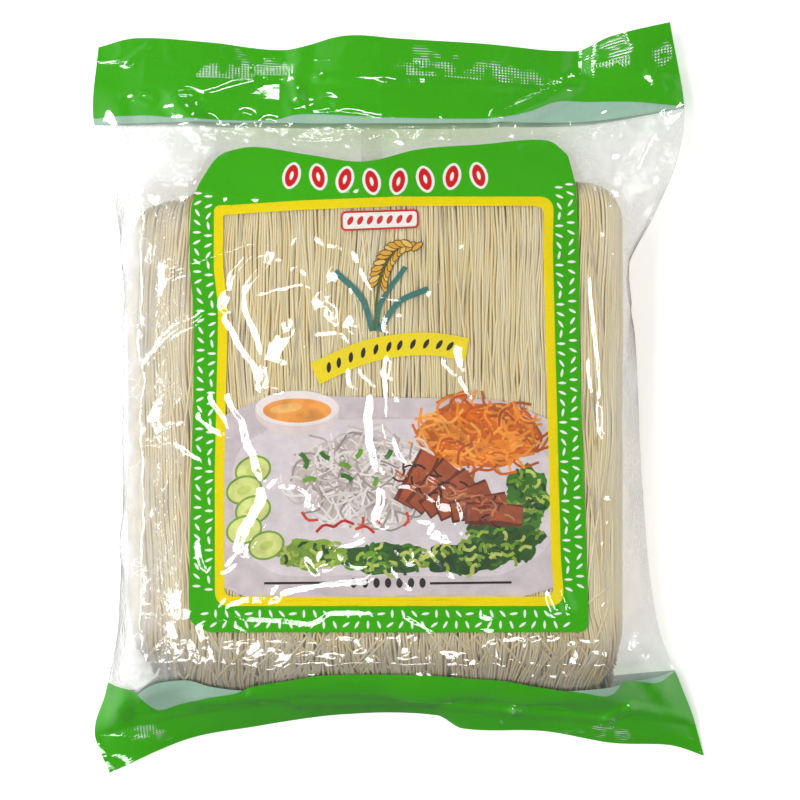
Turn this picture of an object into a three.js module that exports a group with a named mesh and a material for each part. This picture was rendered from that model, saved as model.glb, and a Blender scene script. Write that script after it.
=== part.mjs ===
// A sealed pillow bag of clear film, drawn tight over a flat block of dry rice noodles and lying on its back.
// It is one closed piece: the film's front and back sheets are welded together at both ends, so the solid runs
// from the front sheet to the back sheet, and the noodle block inside pushes the two apart.
// Millimetres. +X runs across the bag, +Y along it towards the top weld and +Z up from the surface it lies on.
// The origin is under the middle of the bag.
import * as THREE from "three";

// Driving dimensions
const BAG_WIDTH = 290; // the flat width of the film tube, which the four ears still have
const BAG_LENGTH = 355.5; // between the furthest corners of the two ends
const FILM_EDGE = 1; // thickness that the welded ends and the side folds are given
const BLOCK = {
  left: -126, // the block has slid to the left and to the bottom end of the bag
  right: 104,
  bottom: -138,
  top: 101,
  thickness: 46,
  crown: 2, // extra height at the middle of its top
  sideRound: 15, // how far in from each side or end the block starts to round over
  bottomRound: 27,
  topRound: 14,
};
const COLUMNS = 42; // cells across the bag
const SEAL_ROWS = 3; // cells across each welded end
const BODY_ROWS = 44; // cells between the two welds

// The folded sides: their line seen from above, as [y, x], and the height of the fold, as [y, z].
const LEFT_FOLD = {
  plan: [
    [-178, -138], [-158, -144.5], [-138, -138.5], [-104, -131.5], [-40, -128.5], [50, -127.5],
    [80, -130.5], [110, -137], [134, -144], [167, -142.5],
  ],
  height: [[-160, 4], [-120, 13], [-85, 20], [80, 21], [120, 15], [150, 9]],
};
const RIGHT_FOLD = {
  plan: [
    [-170, 145.5], [-150, 139.5], [-135, 133.5], [-104, 121.5], [-50, 115], [30, 111],
    [60, 107], [85, 119], [110, 130], [137, 134.5], [177.5, 127.5],
  ],
  height: [[-160, 4], [-125, 9], [-90, 14], [30, 14], [60, 16], [100, 15], [155, 11]],
};
// The cut ends and the inner borders of the two welds: their line, as [x, y], and their height, as [x, z].
const TOP_EDGE = {
  plan: [
    [-142.5, 167], [-125, 171], [-90, 169], [-53, 166], [-26, 172], [0, 170.5],
    [40, 168.5], [84, 165.5], [100, 171.5], [127.5, 177.5],
  ],
  height: [[-144, 6], [-95, 9], [-53, 3], [-20, 11], [40, 8], [84, 3], [131, 13]],
};
const TOP_WELD = {
  plan: [[-144, 150], [-100, 152], [-50, 151], [0, 153], [84, 149], [131, 159]],
  height: [[-144, 9], [-95, 12], [-53, 8], [-20, 13], [40, 12], [84, 7], [131, 11]],
};
const BOTTOM_WELD = {
  plan: [[-143, -160], [-100, -149], [-60, -143], [0, -140.5], [60, -144], [105, -150], [141, -156]],
  height: [[-143, 4], [-105, 13], [-50, 20], [0, 21], [50, 20], [105, 13], [141, 4]],
};
const BOTTOM_EDGE = {
  plan: [
    [-138, -178], [-100, -161.5], [-70, -156], [-26, -150], [18, -150.5], [30, -156.5],
    [70, -158], [100, -163.5], [130, -165], [145.5, -170],
  ],
  height: [[-143, 1.6], [-100, 2.6], [-26, 1.2], [18, 1.4], [30, 3], [100, 1.6], [141, 1]],
};

// Folds of the loose film round the block. A fold with both: true bends the two sheets together.
const FOLDS = [
  { from: [-128, 108], to: [-139, 150], rise: 3.5, reach: 10, both: false },
  { from: [-84, 116], to: [-104, 140], rise: 3, reach: 9, both: false },
  { from: [-50, 128], to: [-47, 166], rise: 3, reach: 8, both: true },
  { from: [48, 130], to: [84, 150], rise: 4, reach: 8, both: true },
  { from: [84, 150], to: [85, 168], rise: -2.5, reach: 9, both: true },
  { from: [108, 104], to: [133, 138], rise: 5, reach: 10, both: false },
  { from: [108, 66], to: [124, 98], rise: 4, reach: 9, both: false },
  { from: [110, -118], to: [139, -152], rise: 4.5, reach: 10, both: false },
  { from: [-127, -126], to: [-136, -163], rise: 4, reach: 9, both: false },
  { from: [-100, -138], to: [-122, -149], rise: -4, reach: 10, both: false },
];

const { clamp, lerp } = THREE.MathUtils;

// A smooth curve through knots of [position, value]: cubic, each slope taken from the knots on both sides.
function smooth(knots, position) {
  const last = knots.length - 1;
  const s = clamp(position, knots[0][0], knots[last][0]);
  let i = 0;
  while (i < last - 1 && s > knots[i + 1][0]) i++;
  const slope = (k) => {
    const before = knots[Math.max(k - 1, 0)];
    const after = knots[Math.min(k + 1, last)];
    return (after[1] - before[1]) / (after[0] - before[0]);
  };
  const gap = knots[i + 1][0] - knots[i][0];
  const t = (s - knots[i][0]) / gap;
  const rise = knots[i + 1][1] - knots[i][1];
  const [startRise, endRise] = [slope(i) * gap, slope(i + 1) * gap];
  const bow = 3 * rise - 2 * startRise - endRise;
  const twist = startRise + endRise - 2 * rise;
  return knots[i][1] + t * (startRise + t * (bow + t * twist));
}

// The y of a line at u, which runs from -1 on the left fold to 1 on the right fold.
function lineY(line, u) {
  const [first, last] = [line.plan[0][0], line.plan[line.plan.length - 1][0]];
  return smooth(line.plan, lerp(first, last, (u + 1) / 2));
}

// The rows from the bottom edge to the top edge: the two lines that each lies between, and how far along.
// A held row is in a weld, where the two sheets are one.
function listRows() {
  const strips = [
    { count: SEAL_ROWS, from: BOTTOM_EDGE, to: BOTTOM_WELD, held: true },
    { count: BODY_ROWS, from: BOTTOM_WELD, to: TOP_WELD, held: false },
    { count: SEAL_ROWS, from: TOP_WELD, to: TOP_EDGE, held: true },
  ];
  const rows = [{ from: BOTTOM_EDGE, to: BOTTOM_WELD, share: 0, held: true }];
  for (const { count, from, to, held } of strips)
    for (let r = 1; r <= count; r++) rows.push({ from, to, share: r / count, held: held || r === count });
  return rows;
}

// The grid's points, row by row: x and y seen from above, and the height of the film where it is held.
function planGrid() {
  return listRows().map(({ from, to, share, held }) => {
    const yAt = (u) => lerp(lineY(from, u), lineY(to, u), share);
    const [left, right] = [smooth(LEFT_FOLD.plan, yAt(-1)), smooth(RIGHT_FOLD.plan, yAt(1))];
    return Array.from({ length: COLUMNS + 1 }, (_, c) => {
      const u = (2 * c) / COLUMNS - 1;
      const point = { x: lerp(left, right, (u + 1) / 2), y: yAt(u), heldAt: null };
      const flatX = (u * BAG_WIDTH) / 2;
      if (held) point.heldAt = lerp(smooth(from.height, flatX), smooth(to.height, flatX), share);
      else if (c === 0) point.heldAt = smooth(LEFT_FOLD.height, point.y);
      else if (c === COLUMNS) point.heldAt = smooth(RIGHT_FOLD.height, point.y);
      return point;
    });
  });
}

// Half the block's thickness over a point of the plan, rounded towards its sides and ends, or null outside it.
function blockHalf(x, y) {
  const over = (beyond, round) => Math.max(0, beyond + round) / round;
  const across = over(Math.max(BLOCK.left - x, x - BLOCK.right), BLOCK.sideRound);
  const along = Math.max(over(BLOCK.bottom - y, BLOCK.bottomRound), over(y - BLOCK.top, BLOCK.topRound));
  const out = Math.hypot(across, along);
  return out < 1 ? (BLOCK.thickness / 2) * Math.sqrt(1 - out * out) : null;
}

function blockCrown(x, y) {
  const across = (2 * x - BLOCK.left - BLOCK.right) / (BLOCK.right - BLOCK.left);
  const along = (2 * y - BLOCK.bottom - BLOCK.top) / (BLOCK.top - BLOCK.bottom);
  return BLOCK.crown * (1 - across * across) * (1 - along * along);
}

// One tight sheet of film. A free point settles at the mean height of its neighbours, and rest(point, z) then
// keeps it off the block.
function tightSheet(plan, rest) {
  const SWEEPS = 900;
  const acrossWeight = (BAG_LENGTH / BODY_ROWS / (BAG_WIDTH / COLUMNS)) ** 2;
  const heights = plan.map((row) => row.map((point) => point.heldAt ?? rest(point, BLOCK.thickness / 2)));
  for (let sweep = 0; sweep < SWEEPS; sweep++)
    plan.forEach((row, r) =>
      row.forEach((point, c) => {
        if (point.heldAt !== null) return;
        const across = heights[r][c - 1] + heights[r][c + 1];
        const along = heights[r - 1][c] + heights[r + 1][c];
        heights[r][c] = rest(point, (across * acrossWeight + along) / (2 * acrossWeight + 2));
      }),
    );
  return heights;
}

// How far the folds of one kind lift the film at a point: each is full on its line and gone at its reach.
function foldLift(x, y, both) {
  let lift = 0;
  for (const fold of FOLDS.filter((f) => f.both === both)) {
    const [dx, dy] = [fold.to[0] - fold.from[0], fold.to[1] - fold.from[1]];
    const [fx, fy] = [x - fold.from[0], y - fold.from[1]];
    const along = clamp((fx * dx + fy * dy) / (dx * dx + dy * dy), 0, 1);
    const away = Math.hypot(fx - along * dx, fy - along * dy);
    if (away < fold.reach) lift += fold.rise * (0.5 + 0.5 * Math.cos((Math.PI * away) / fold.reach));
  }
  return lift;
}

// The heights of both sheets over the grid. A fold of the front sheet alone fades out where the bag is thin.
function sheetHeights(plan) {
  const FULL_FOLD_GAP = 8;
  const middle = BLOCK.thickness / 2;
  const front = tightSheet(plan, ({ x, y }, z) => {
    const half = blockHalf(x, y);
    return half === null ? z : Math.max(z, middle + half + blockCrown(x, y));
  });
  const back = tightSheet(plan, ({ x, y }, z) => {
    const half = blockHalf(x, y);
    return Math.max(0, half === null ? z : Math.min(z, middle - half));
  });
  plan.forEach((row, r) =>
    row.forEach(({ x, y }, c) => {
      const [low, high] = [back[r][c], front[r][c]];
      const bend = foldLift(x, y, true);
      const loose = clamp((high - low) / FULL_FOLD_GAP, 0, 1) * foldLift(x, y, false);
      back[r][c] = low > 0 ? Math.max(0, low + bend - FILM_EDGE / 2) : 0;
      front[r][c] = Math.max(high + bend + loose + FILM_EDGE / 2, back[r][c] + FILM_EDGE);
    }),
  );
  return { front, back };
}

// The closed surface: the two sheets over the grid, and a narrow wall round the outline that joins them.
function bagGeometry() {
  const plan = planGrid();
  const { front, back } = sheetHeights(plan);
  const [xs, ys] = ["x", "y"].map((axis) => plan.flat().map((point) => point[axis]));
  const centred = (values, size) => {
    const [low, high] = [Math.min(...values), Math.max(...values)];
    return (value) => ((value - (low + high) / 2) * size) / (high - low);
  };
  const [placeX, placeY] = [centred(xs, BAG_WIDTH), centred(ys, BAG_LENGTH)];
  const positions = [];
  for (const heights of [back, front])
    plan.forEach((row, r) =>
      row.forEach(({ x, y }, c) => positions.push(placeX(x), placeY(y), heights[r][c])),
    );

  const lastRow = plan.length - 1;
  const [BACK, FRONT] = [0, 1];
  const at = (sheet, r, c) => (sheet * plan.length + r) * (COLUMNS + 1) + c;
  const faces = [];
  for (let r = 0; r < lastRow; r++)
    for (let c = 0; c < COLUMNS; c++)
      for (const sheet of [BACK, FRONT]) {
        const [a, b] = [at(sheet, r, c), at(sheet, r, c + 1)];
        const [d, e] = [at(sheet, r + 1, c), at(sheet, r + 1, c + 1)];
        if (sheet === FRONT) faces.push(a, b, e, a, e, d);
        else faces.push(a, e, b, a, d, e);
      }
  const wall = (r0, c0, r1, c1) => {
    const [low0, low1, high0, high1] = [at(BACK, r0, c0), at(BACK, r1, c1), at(FRONT, r0, c0), at(FRONT, r1, c1)];
    faces.push(low0, low1, high1, low0, high1, high0);
  };
  for (let c = 0; c < COLUMNS; c++) {
    wall(0, c, 0, c + 1);
    wall(lastRow, c + 1, lastRow, c);
  }
  for (let r = 0; r < lastRow; r++) {
    wall(r, COLUMNS, r + 1, COLUMNS);
    wall(r + 1, 0, r, 0);
  }
  const geometry = new THREE.BufferGeometry();
  geometry.setAttribute("position", new THREE.Float32BufferAttribute(positions, 3));
  geometry.setIndex(faces);
  geometry.computeVertexNormals();
  return geometry;
}

const clearFilmOverNoodles = new THREE.MeshStandardMaterial({
  name: "clear_film_over_noodles",
  color: 0xd8c9a3,
  roughness: 0.25,
  metalness: 0,
});

const pack = new THREE.Group();
const bag = new THREE.Mesh(bagGeometry(), clearFilmOverNoodles);
bag.name = "noodle_bag";
pack.add(bag);

export default pack;
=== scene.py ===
"""A sealed bag of dry rice noodles: clear film with printed ends and a label, over a block of strands.

The sizes are in millimetres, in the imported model's own frame, until a mesh is made. The bag lies on its back:
+X runs across it, +Y towards its top weld and +Z up through the printed front.
"""

import functools
import math

import bpy
import numpy as np
from bpy.props import FloatProperty, FloatVectorProperty, IntProperty, PointerProperty
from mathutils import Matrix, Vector
from mathutils.geometry import delaunay_2d_cdt


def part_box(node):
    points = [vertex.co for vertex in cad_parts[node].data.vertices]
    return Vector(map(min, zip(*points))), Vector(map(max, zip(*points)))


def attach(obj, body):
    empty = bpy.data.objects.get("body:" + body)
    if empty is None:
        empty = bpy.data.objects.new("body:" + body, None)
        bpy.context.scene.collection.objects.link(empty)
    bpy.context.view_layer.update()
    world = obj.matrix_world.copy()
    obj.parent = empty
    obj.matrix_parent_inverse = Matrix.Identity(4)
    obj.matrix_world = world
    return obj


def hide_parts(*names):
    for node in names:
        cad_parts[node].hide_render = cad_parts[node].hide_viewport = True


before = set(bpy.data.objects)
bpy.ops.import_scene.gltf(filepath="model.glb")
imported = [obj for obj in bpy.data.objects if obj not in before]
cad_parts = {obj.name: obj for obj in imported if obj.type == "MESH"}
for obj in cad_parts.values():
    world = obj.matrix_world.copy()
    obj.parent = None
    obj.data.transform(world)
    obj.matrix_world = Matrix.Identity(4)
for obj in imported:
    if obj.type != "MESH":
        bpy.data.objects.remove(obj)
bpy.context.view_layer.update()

bl_info = {
    "name": "Rice noodle bag",
    "version": (1, 0, 0),
    "blender": (4, 5, 0),
    "location": "3D View > Sidebar > Noodle bag",
    "description": "Builds a clear film bag with printed ends and label round a block of dry rice noodles",
    "category": "Add Mesh",
}

BAG_LOW, BAG_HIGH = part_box("noodle_bag")
MM = 0.001

# --------------------------------------------------------------------------------------------------
# The bag's form, from the same sizes as the solid that it stands for

BAG_WIDTH = 290
BAG_LENGTH = 355.5
BLOCK = {
    "left": -126, "right": 104, "bottom": -138, "top": 101, "thickness": 46, "crown": 2,
    "side_round": 15, "bottom_round": 27, "top_round": 14,
}
MIDDLE = BLOCK["thickness"] / 2

# The folded sides, as [y, x] seen from above and [y, z] for their height.
LEFT_FOLD = {
    "plan": [
        (-178, -138), (-158, -144.5), (-138, -138.5), (-104, -131.5), (-40, -128.5), (50, -127.5),
        (80, -130.5), (110, -137), (134, -144), (167, -142.5),
    ],
    "height": [(-160, 4), (-120, 13), (-85, 20), (80, 21), (120, 15), (150, 9)],
}
RIGHT_FOLD = {
    "plan": [
        (-170, 145.5), (-150, 139.5), (-135, 133.5), (-104, 121.5), (-50, 115), (30, 111),
        (60, 107), (85, 119), (110, 130), (137, 134.5), (177.5, 127.5),
    ],
    "height": [(-160, 4), (-125, 9), (-90, 14), (30, 14), (60, 16), (100, 15), (155, 11)],
}
# The cut ends and the inner borders of the welds, as [x, y] seen from above and [x, z] for their height.
TOP_EDGE = {
    "plan": [
        (-142.5, 167), (-125, 171), (-90, 169), (-53, 166), (-26, 172), (0, 170.5),
        (40, 168.5), (84, 165.5), (100, 171.5), (127.5, 177.5),
    ],
    "height": [(-144, 6), (-95, 9), (-53, 5), (-8, 9.5), (40, 8), (84, 5.5), (131, 13)],
}
TOP_WELD = {
    "plan": [(-144, 150), (-100, 152), (-50, 151), (0, 153), (84, 149), (131, 159)],
    "height": [(-144, 9), (-95, 12), (-53, 8), (-20, 13), (40, 12), (84, 7), (131, 11)],
}
BOTTOM_WELD = {
    "plan": [(-143, -160), (-100, -149), (-60, -143), (0, -140.5), (60, -144), (105, -150), (141, -156)],
    "height": [(-143, 4), (-105, 13), (-50, 20), (0, 21), (50, 20), (105, 13), (141, 4)],
}
BOTTOM_EDGE = {
    "plan": [
        (-138, -178), (-100, -161.5), (-70, -156), (-26, -150), (18, -150.5), (30, -156.5),
        (70, -158), (100, -163.5), (130, -165), (145.5, -170),
    ],
    "height": [(-143, 1.6), (-100, 2.6), (-26, 1.2), (18, 1.4), (30, 3), (100, 1.6), (141, 1)],
}
# Folds of the loose film round the block, as (from, to, rise, reach). The second list bends both sheets.
FRONT_FOLDS = [
    ((-128, 108), (-139, 150), 3.5, 10),
    ((-84, 116), (-104, 140), 3, 9),
    ((108, 104), (133, 138), 5, 10),
    ((108, 66), (124, 98), 4, 9),
    ((110, -118), (139, -152), 4.5, 10),
    ((-127, -126), (-136, -163), 4, 9),
    ((-100, -138), (-122, -149), -2, 10),
]
BAG_FOLDS = [
    ((-50, 128), (-47, 166), 1.2, 8),
    ((48, 130), (84, 150), 4, 8),
    ((84, 150), (85, 168), -2.5, 9),
    ((-90, 142), (-62, 153), 0.9, 4),
    ((-62, 153), (-38, 152), 0.8, 4),
    ((-38, 152), (-6, 148), 0.8, 4),
    ((-6, 148), (84, 147), 0.8, 3.5),
    ((-49, 150), (-47, 142), 1.0, 4),
    ((-47, 142), (-43, 136), 1.2, 4),
    ((-8.4, 129), (-8.4, 169), 0.3, 1.8),
]
# The long fold in the bottom band, which bends both sheets too.
BOTTOM_FOLD = [(-67, -135), (-48, -142), (15, -142), (54, -146.5), (98, -150), (108, -144), (137, -151)]
BAG_FOLDS += [(start, end, 1.9, 4.5) for start, end in zip(BOTTOM_FOLD, BOTTOM_FOLD[1:])]

COLUMNS = 256
SEAL_ROWS = 48
BODY_ROWS = 280
WELD_WIDTH = 17
RIB_PITCH, CUT_PITCH = 1.25, 1.5  # of the weld's pressed ribs and of the cuts across them
FILM_HALF_GAP = 0.3  # from the middle of a weld to the outside of either sheet
INK_DEPTH = 0.2  # from the film's outside to the ink on its inside
BACKING_DEPTH = 0.35  # and to the pale backing behind the ink
# The lapped back seam, from side to side and from end to end, and how far it lies inside the back sheet.
SEAM_X, SEAM_Y, SEAM_DEPTH = (-18, -8), (-140, 150), 0.12
NOISE_CELLS = 64  # along each side of the noise's own lattice, after which it repeats


def smooth(knots, position):
    """A cubic curve through knots of (position, value), each slope taken from the knots on both sides."""
    knots = np.array(knots, float)
    at, value = knots[:, 0], knots[:, 1]
    last = len(at) - 1
    before, after = np.maximum(np.arange(last + 1) - 1, 0), np.minimum(np.arange(last + 1) + 1, last)
    slope = (value[after] - value[before]) / (at[after] - at[before])
    s = np.clip(position, at[0], at[-1])
    i = np.clip(np.searchsorted(at, s) - 1, 0, last - 1)
    gap = at[i + 1] - at[i]
    t = (s - at[i]) / gap
    rise, start_rise, end_rise = value[i + 1] - value[i], slope[i] * gap, slope[i + 1] * gap
    bow, twist = 3 * rise - 2 * start_rise - end_rise, start_rise + end_rise - 2 * rise
    return value[i] + t * (start_rise + t * (bow + t * twist))


def lerp(a, b, share):
    return a + (b - a) * share


def line_y(line, u):
    """The y of a weld or an end at u, which runs from -1 on the left fold to 1 on the right fold."""
    return smooth(line["plan"], lerp(line["plan"][0][0], line["plan"][-1][0], (u + 1) / 2))


STRIPS = [
    (SEAL_ROWS, BOTTOM_EDGE, BOTTOM_WELD),
    (BODY_ROWS, BOTTOM_WELD, TOP_WELD),
    (SEAL_ROWS, TOP_WELD, TOP_EDGE),
]


def fold_sides(low, high, share):
    """x of the left and the right fold, at a share of the way from one line across the bag to another."""
    return [
        smooth(fold["plan"], lerp(line_y(low, end), line_y(high, end), share))
        for end, fold in ((-1, LEFT_FOLD), (1, RIGHT_FOLD))
    ]


def plan_of(strip, u, share):
    """x and y seen from above, at u across the bag and a share of the way through one strip of rows."""
    _, low, high = strip
    left, right = fold_sides(low, high, share)
    return lerp(left, right, (u + 1) / 2), lerp(line_y(low, u), line_y(high, u), share)


def strip_grid(rows, columns=COLUMNS):
    """For each point of a strip's grid: its share of the way through the rows, and u across the bag."""
    return np.meshgrid(np.arange(rows + 1) / rows, np.arange(columns + 1) / columns * 2 - 1, indexing="ij")


def ramp(value, start, end):
    """Runs from 0 at the start to 1 at the end, and stays there."""
    return np.clip((value - start) / (end - start), 0, 1)


def grid_place(x, y):
    """The row and column, as real numbers, of points given by x and y."""
    u, row = np.zeros_like(x), np.zeros_like(x)
    for _ in range(10):
        first = 0
        across = np.zeros_like(x)
        for k, (rows, low, high) in enumerate(STRIPS):
            below, above = line_y(low, u), line_y(high, u)
            share = (y - below) / (above - below)
            here = (share >= 0) | (k == 0)
            share = np.clip(share, 0, 1)
            left, right = fold_sides(low, high, share)
            across = np.where(here, 2 * (x - left) / (right - left) - 1, across)
            row = np.where(here, first + share * rows, row)
            first += rows
        u = np.clip(across, -1, 1)
    return row, (u + 1) / 2 * COLUMNS


def block_half(x, y):
    """Half the block's thickness over a point, rounded towards its sides and ends, and -1 outside it."""
    across = np.maximum(BLOCK["left"] - x, x - BLOCK["right"]) / BLOCK["side_round"] + 1
    low_end = (BLOCK["bottom"] - y) / BLOCK["bottom_round"] + 1
    high_end = (y - BLOCK["top"]) / BLOCK["top_round"] + 1
    out = np.hypot(np.maximum(across, 0), np.maximum(np.maximum(low_end, high_end), 0))
    return np.where(out < 1, MIDDLE * np.sqrt(np.clip(1 - out * out, 0, 1)), -1)


def bridged_half(x, y):
    """Half the thickness that the film rests on, as it bridges the dips at the block's edges."""
    shift = 2.5 + 2.5 * noise(x, y, (24, 19), 61)
    toward_x = np.clip((x - (BLOCK["left"] + BLOCK["right"]) / 2) / 60, -1, 1)
    toward_y = np.clip((y - (BLOCK["bottom"] + BLOCK["top"]) / 2) / 60, -1, 1)
    half = np.maximum(block_half(x, y), block_half(x - shift * toward_x, y - shift * toward_y))
    # It leaves the flat top at a kink and touches the rounded edge again a little further down. Both places
    # and the slope between them are in shares of the edge's radii.
    kink, touch, slope = 0.231, 0.44, 0.489
    full = np.clip(half / MIDDLE, 0, 1)
    out = np.sqrt(1 - full**2)
    kinked = MIDDLE * np.minimum(1, 1 - slope * (out - kink))
    return np.where((half > 0) & (out < touch), kinked, half)


def block_crown(x, y):
    across = (2 * x - BLOCK["left"] - BLOCK["right"]) / (BLOCK["right"] - BLOCK["left"])
    along = (2 * y - BLOCK["bottom"] - BLOCK["top"]) / (BLOCK["top"] - BLOCK["bottom"])
    return BLOCK["crown"] * np.clip(1 - across**2, 0, 1) * np.clip(1 - along**2, 0, 1)


def tight_body(sheet_limits):
    """One sheet's heights between the welds, pulled tight over the block, on ever finer grids."""
    z = None
    for step, sweeps in ((8, 120), (4, 80), (2, 60), (1, 40)):
        rows, columns = BODY_ROWS // step, COLUMNS // step
        share, u = strip_grid(rows, columns)
        x, y = plan_of(STRIPS[1], u, share)
        low, high = sheet_limits(x, y)
        if z is None:
            z = np.full(x.shape, float(MIDDLE))
        else:
            z = np.repeat(np.repeat(z, 2, 0)[:-1], 2, 1)[:, :-1]
            z[1:-1:2] = (z[:-2:2] + z[2::2]) / 2
            z[:, 1:-1:2] = (z[:, :-2:2] + z[:, 2::2]) / 2
        z[:, 0], z[:, -1] = smooth(LEFT_FOLD["height"], y[:, 0]), smooth(RIGHT_FOLD["height"], y[:, -1])
        flat_x = u[0] * BAG_WIDTH / 2
        z[0], z[-1] = smooth(BOTTOM_WELD["height"], flat_x), smooth(TOP_WELD["height"], flat_x)
        weight = ((BAG_LENGTH / rows) / (BAG_WIDTH / columns)) ** 2
        odd = np.indices(x.shape).sum(0)[1:-1, 1:-1] % 2 == 1
        for _ in range(sweeps):
            for turn in (odd, ~odd):
                across, along = z[1:-1, :-2] + z[1:-1, 2:], z[:-2, 1:-1] + z[2:, 1:-1]
                mean = (weight * across + along) / (2 * weight + 2)
                inner = z[1:-1, 1:-1]
                # Going past the mean settles the sheet sooner.
                pulled = inner + 1.6 * (mean - inner)
                inner[turn] = np.clip(pulled, low[1:-1, 1:-1], high[1:-1, 1:-1])[turn]
    return z


def seal_heights(low, high, rows):
    share, u = strip_grid(rows)
    flat_x = u * BAG_WIDTH / 2
    return lerp(smooth(low["height"], flat_x), smooth(high["height"], flat_x), share)


def noise(x, y, lump, seed):
    """Smooth noise from -1 to 1, whose lumps are lump = (across, along) mm in size."""
    lattice = np.random.default_rng(seed).uniform(-1, 1, (NOISE_CELLS, NOISE_CELLS))
    gx, gy = np.asarray(x) / lump[0] + 1000.5, np.asarray(y) / lump[1] + 1000.5
    i, j = np.floor(gx).astype(int), np.floor(gy).astype(int)
    fx, fy = gx - i, gy - j
    fx, fy = fx * fx * (3 - 2 * fx), fy * fy * (3 - 2 * fy)
    pick = lambda a, b: lattice[(i + a) % NOISE_CELLS, (j + b) % NOISE_CELLS]
    return lerp(lerp(pick(0, 0), pick(1, 0), fx), lerp(pick(0, 1), pick(1, 1), fx), fy)


def web(x, y, lump, seed):
    """A net of sharp ridges, 1 high, along the lines where the noise is 0."""
    return (1 - np.abs(noise(x, y, lump, seed))) ** 4


def path_through(points, step):
    """A smooth path through the points, with a new point about every step."""
    points = np.array(points, float)
    gaps = np.linalg.norm(np.diff(points, axis=0), axis=1)
    at = np.concatenate([[0], np.cumsum(gaps)])
    s = np.linspace(0, at[-1], max(3, int(at[-1] / step) + 2))
    return np.stack([smooth(np.stack([at, points[:, k]], 1), s) for k in range(points.shape[1])], 1)


def sideways(path):
    """The unit vector to the left of a path on the plan, at each of its points."""
    leg = np.gradient(path, axis=0)
    return np.stack([-leg[:, 1], leg[:, 0]], 1) / np.linalg.norm(leg, axis=1)[:, None]


def near_path(path, x, y):
    """Distance from each point to the path, and the share of the way along it."""
    start, leg = path[:-1, :2], np.diff(path[:, :2], axis=0)
    dx, dy = x[:, None] - start[:, 0], y[:, None] - start[:, 1]
    t = np.clip((dx * leg[:, 0] + dy * leg[:, 1]) / np.maximum((leg**2).sum(1), 1e-9), 0, 1)
    away = np.hypot(dx - t * leg[:, 0], dy - t * leg[:, 1])
    best = away.argmin(1)
    rows = np.arange(len(x))
    return away[rows, best], (best + t[rows, best]) / len(leg)


def fold_lift(folds, x, y):
    """Height of rounded folds, each a straight line from one point to another."""
    lift = np.zeros_like(x)
    for start, end, rise, reach in folds:
        away, _ = near_path(np.array([start, end], float), x.ravel(), y.ravel())
        away = away.reshape(x.shape)
        lift += np.where(away < reach, rise * (0.5 + 0.5 * np.cos(np.pi * away / reach)), 0)
    return lift


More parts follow.
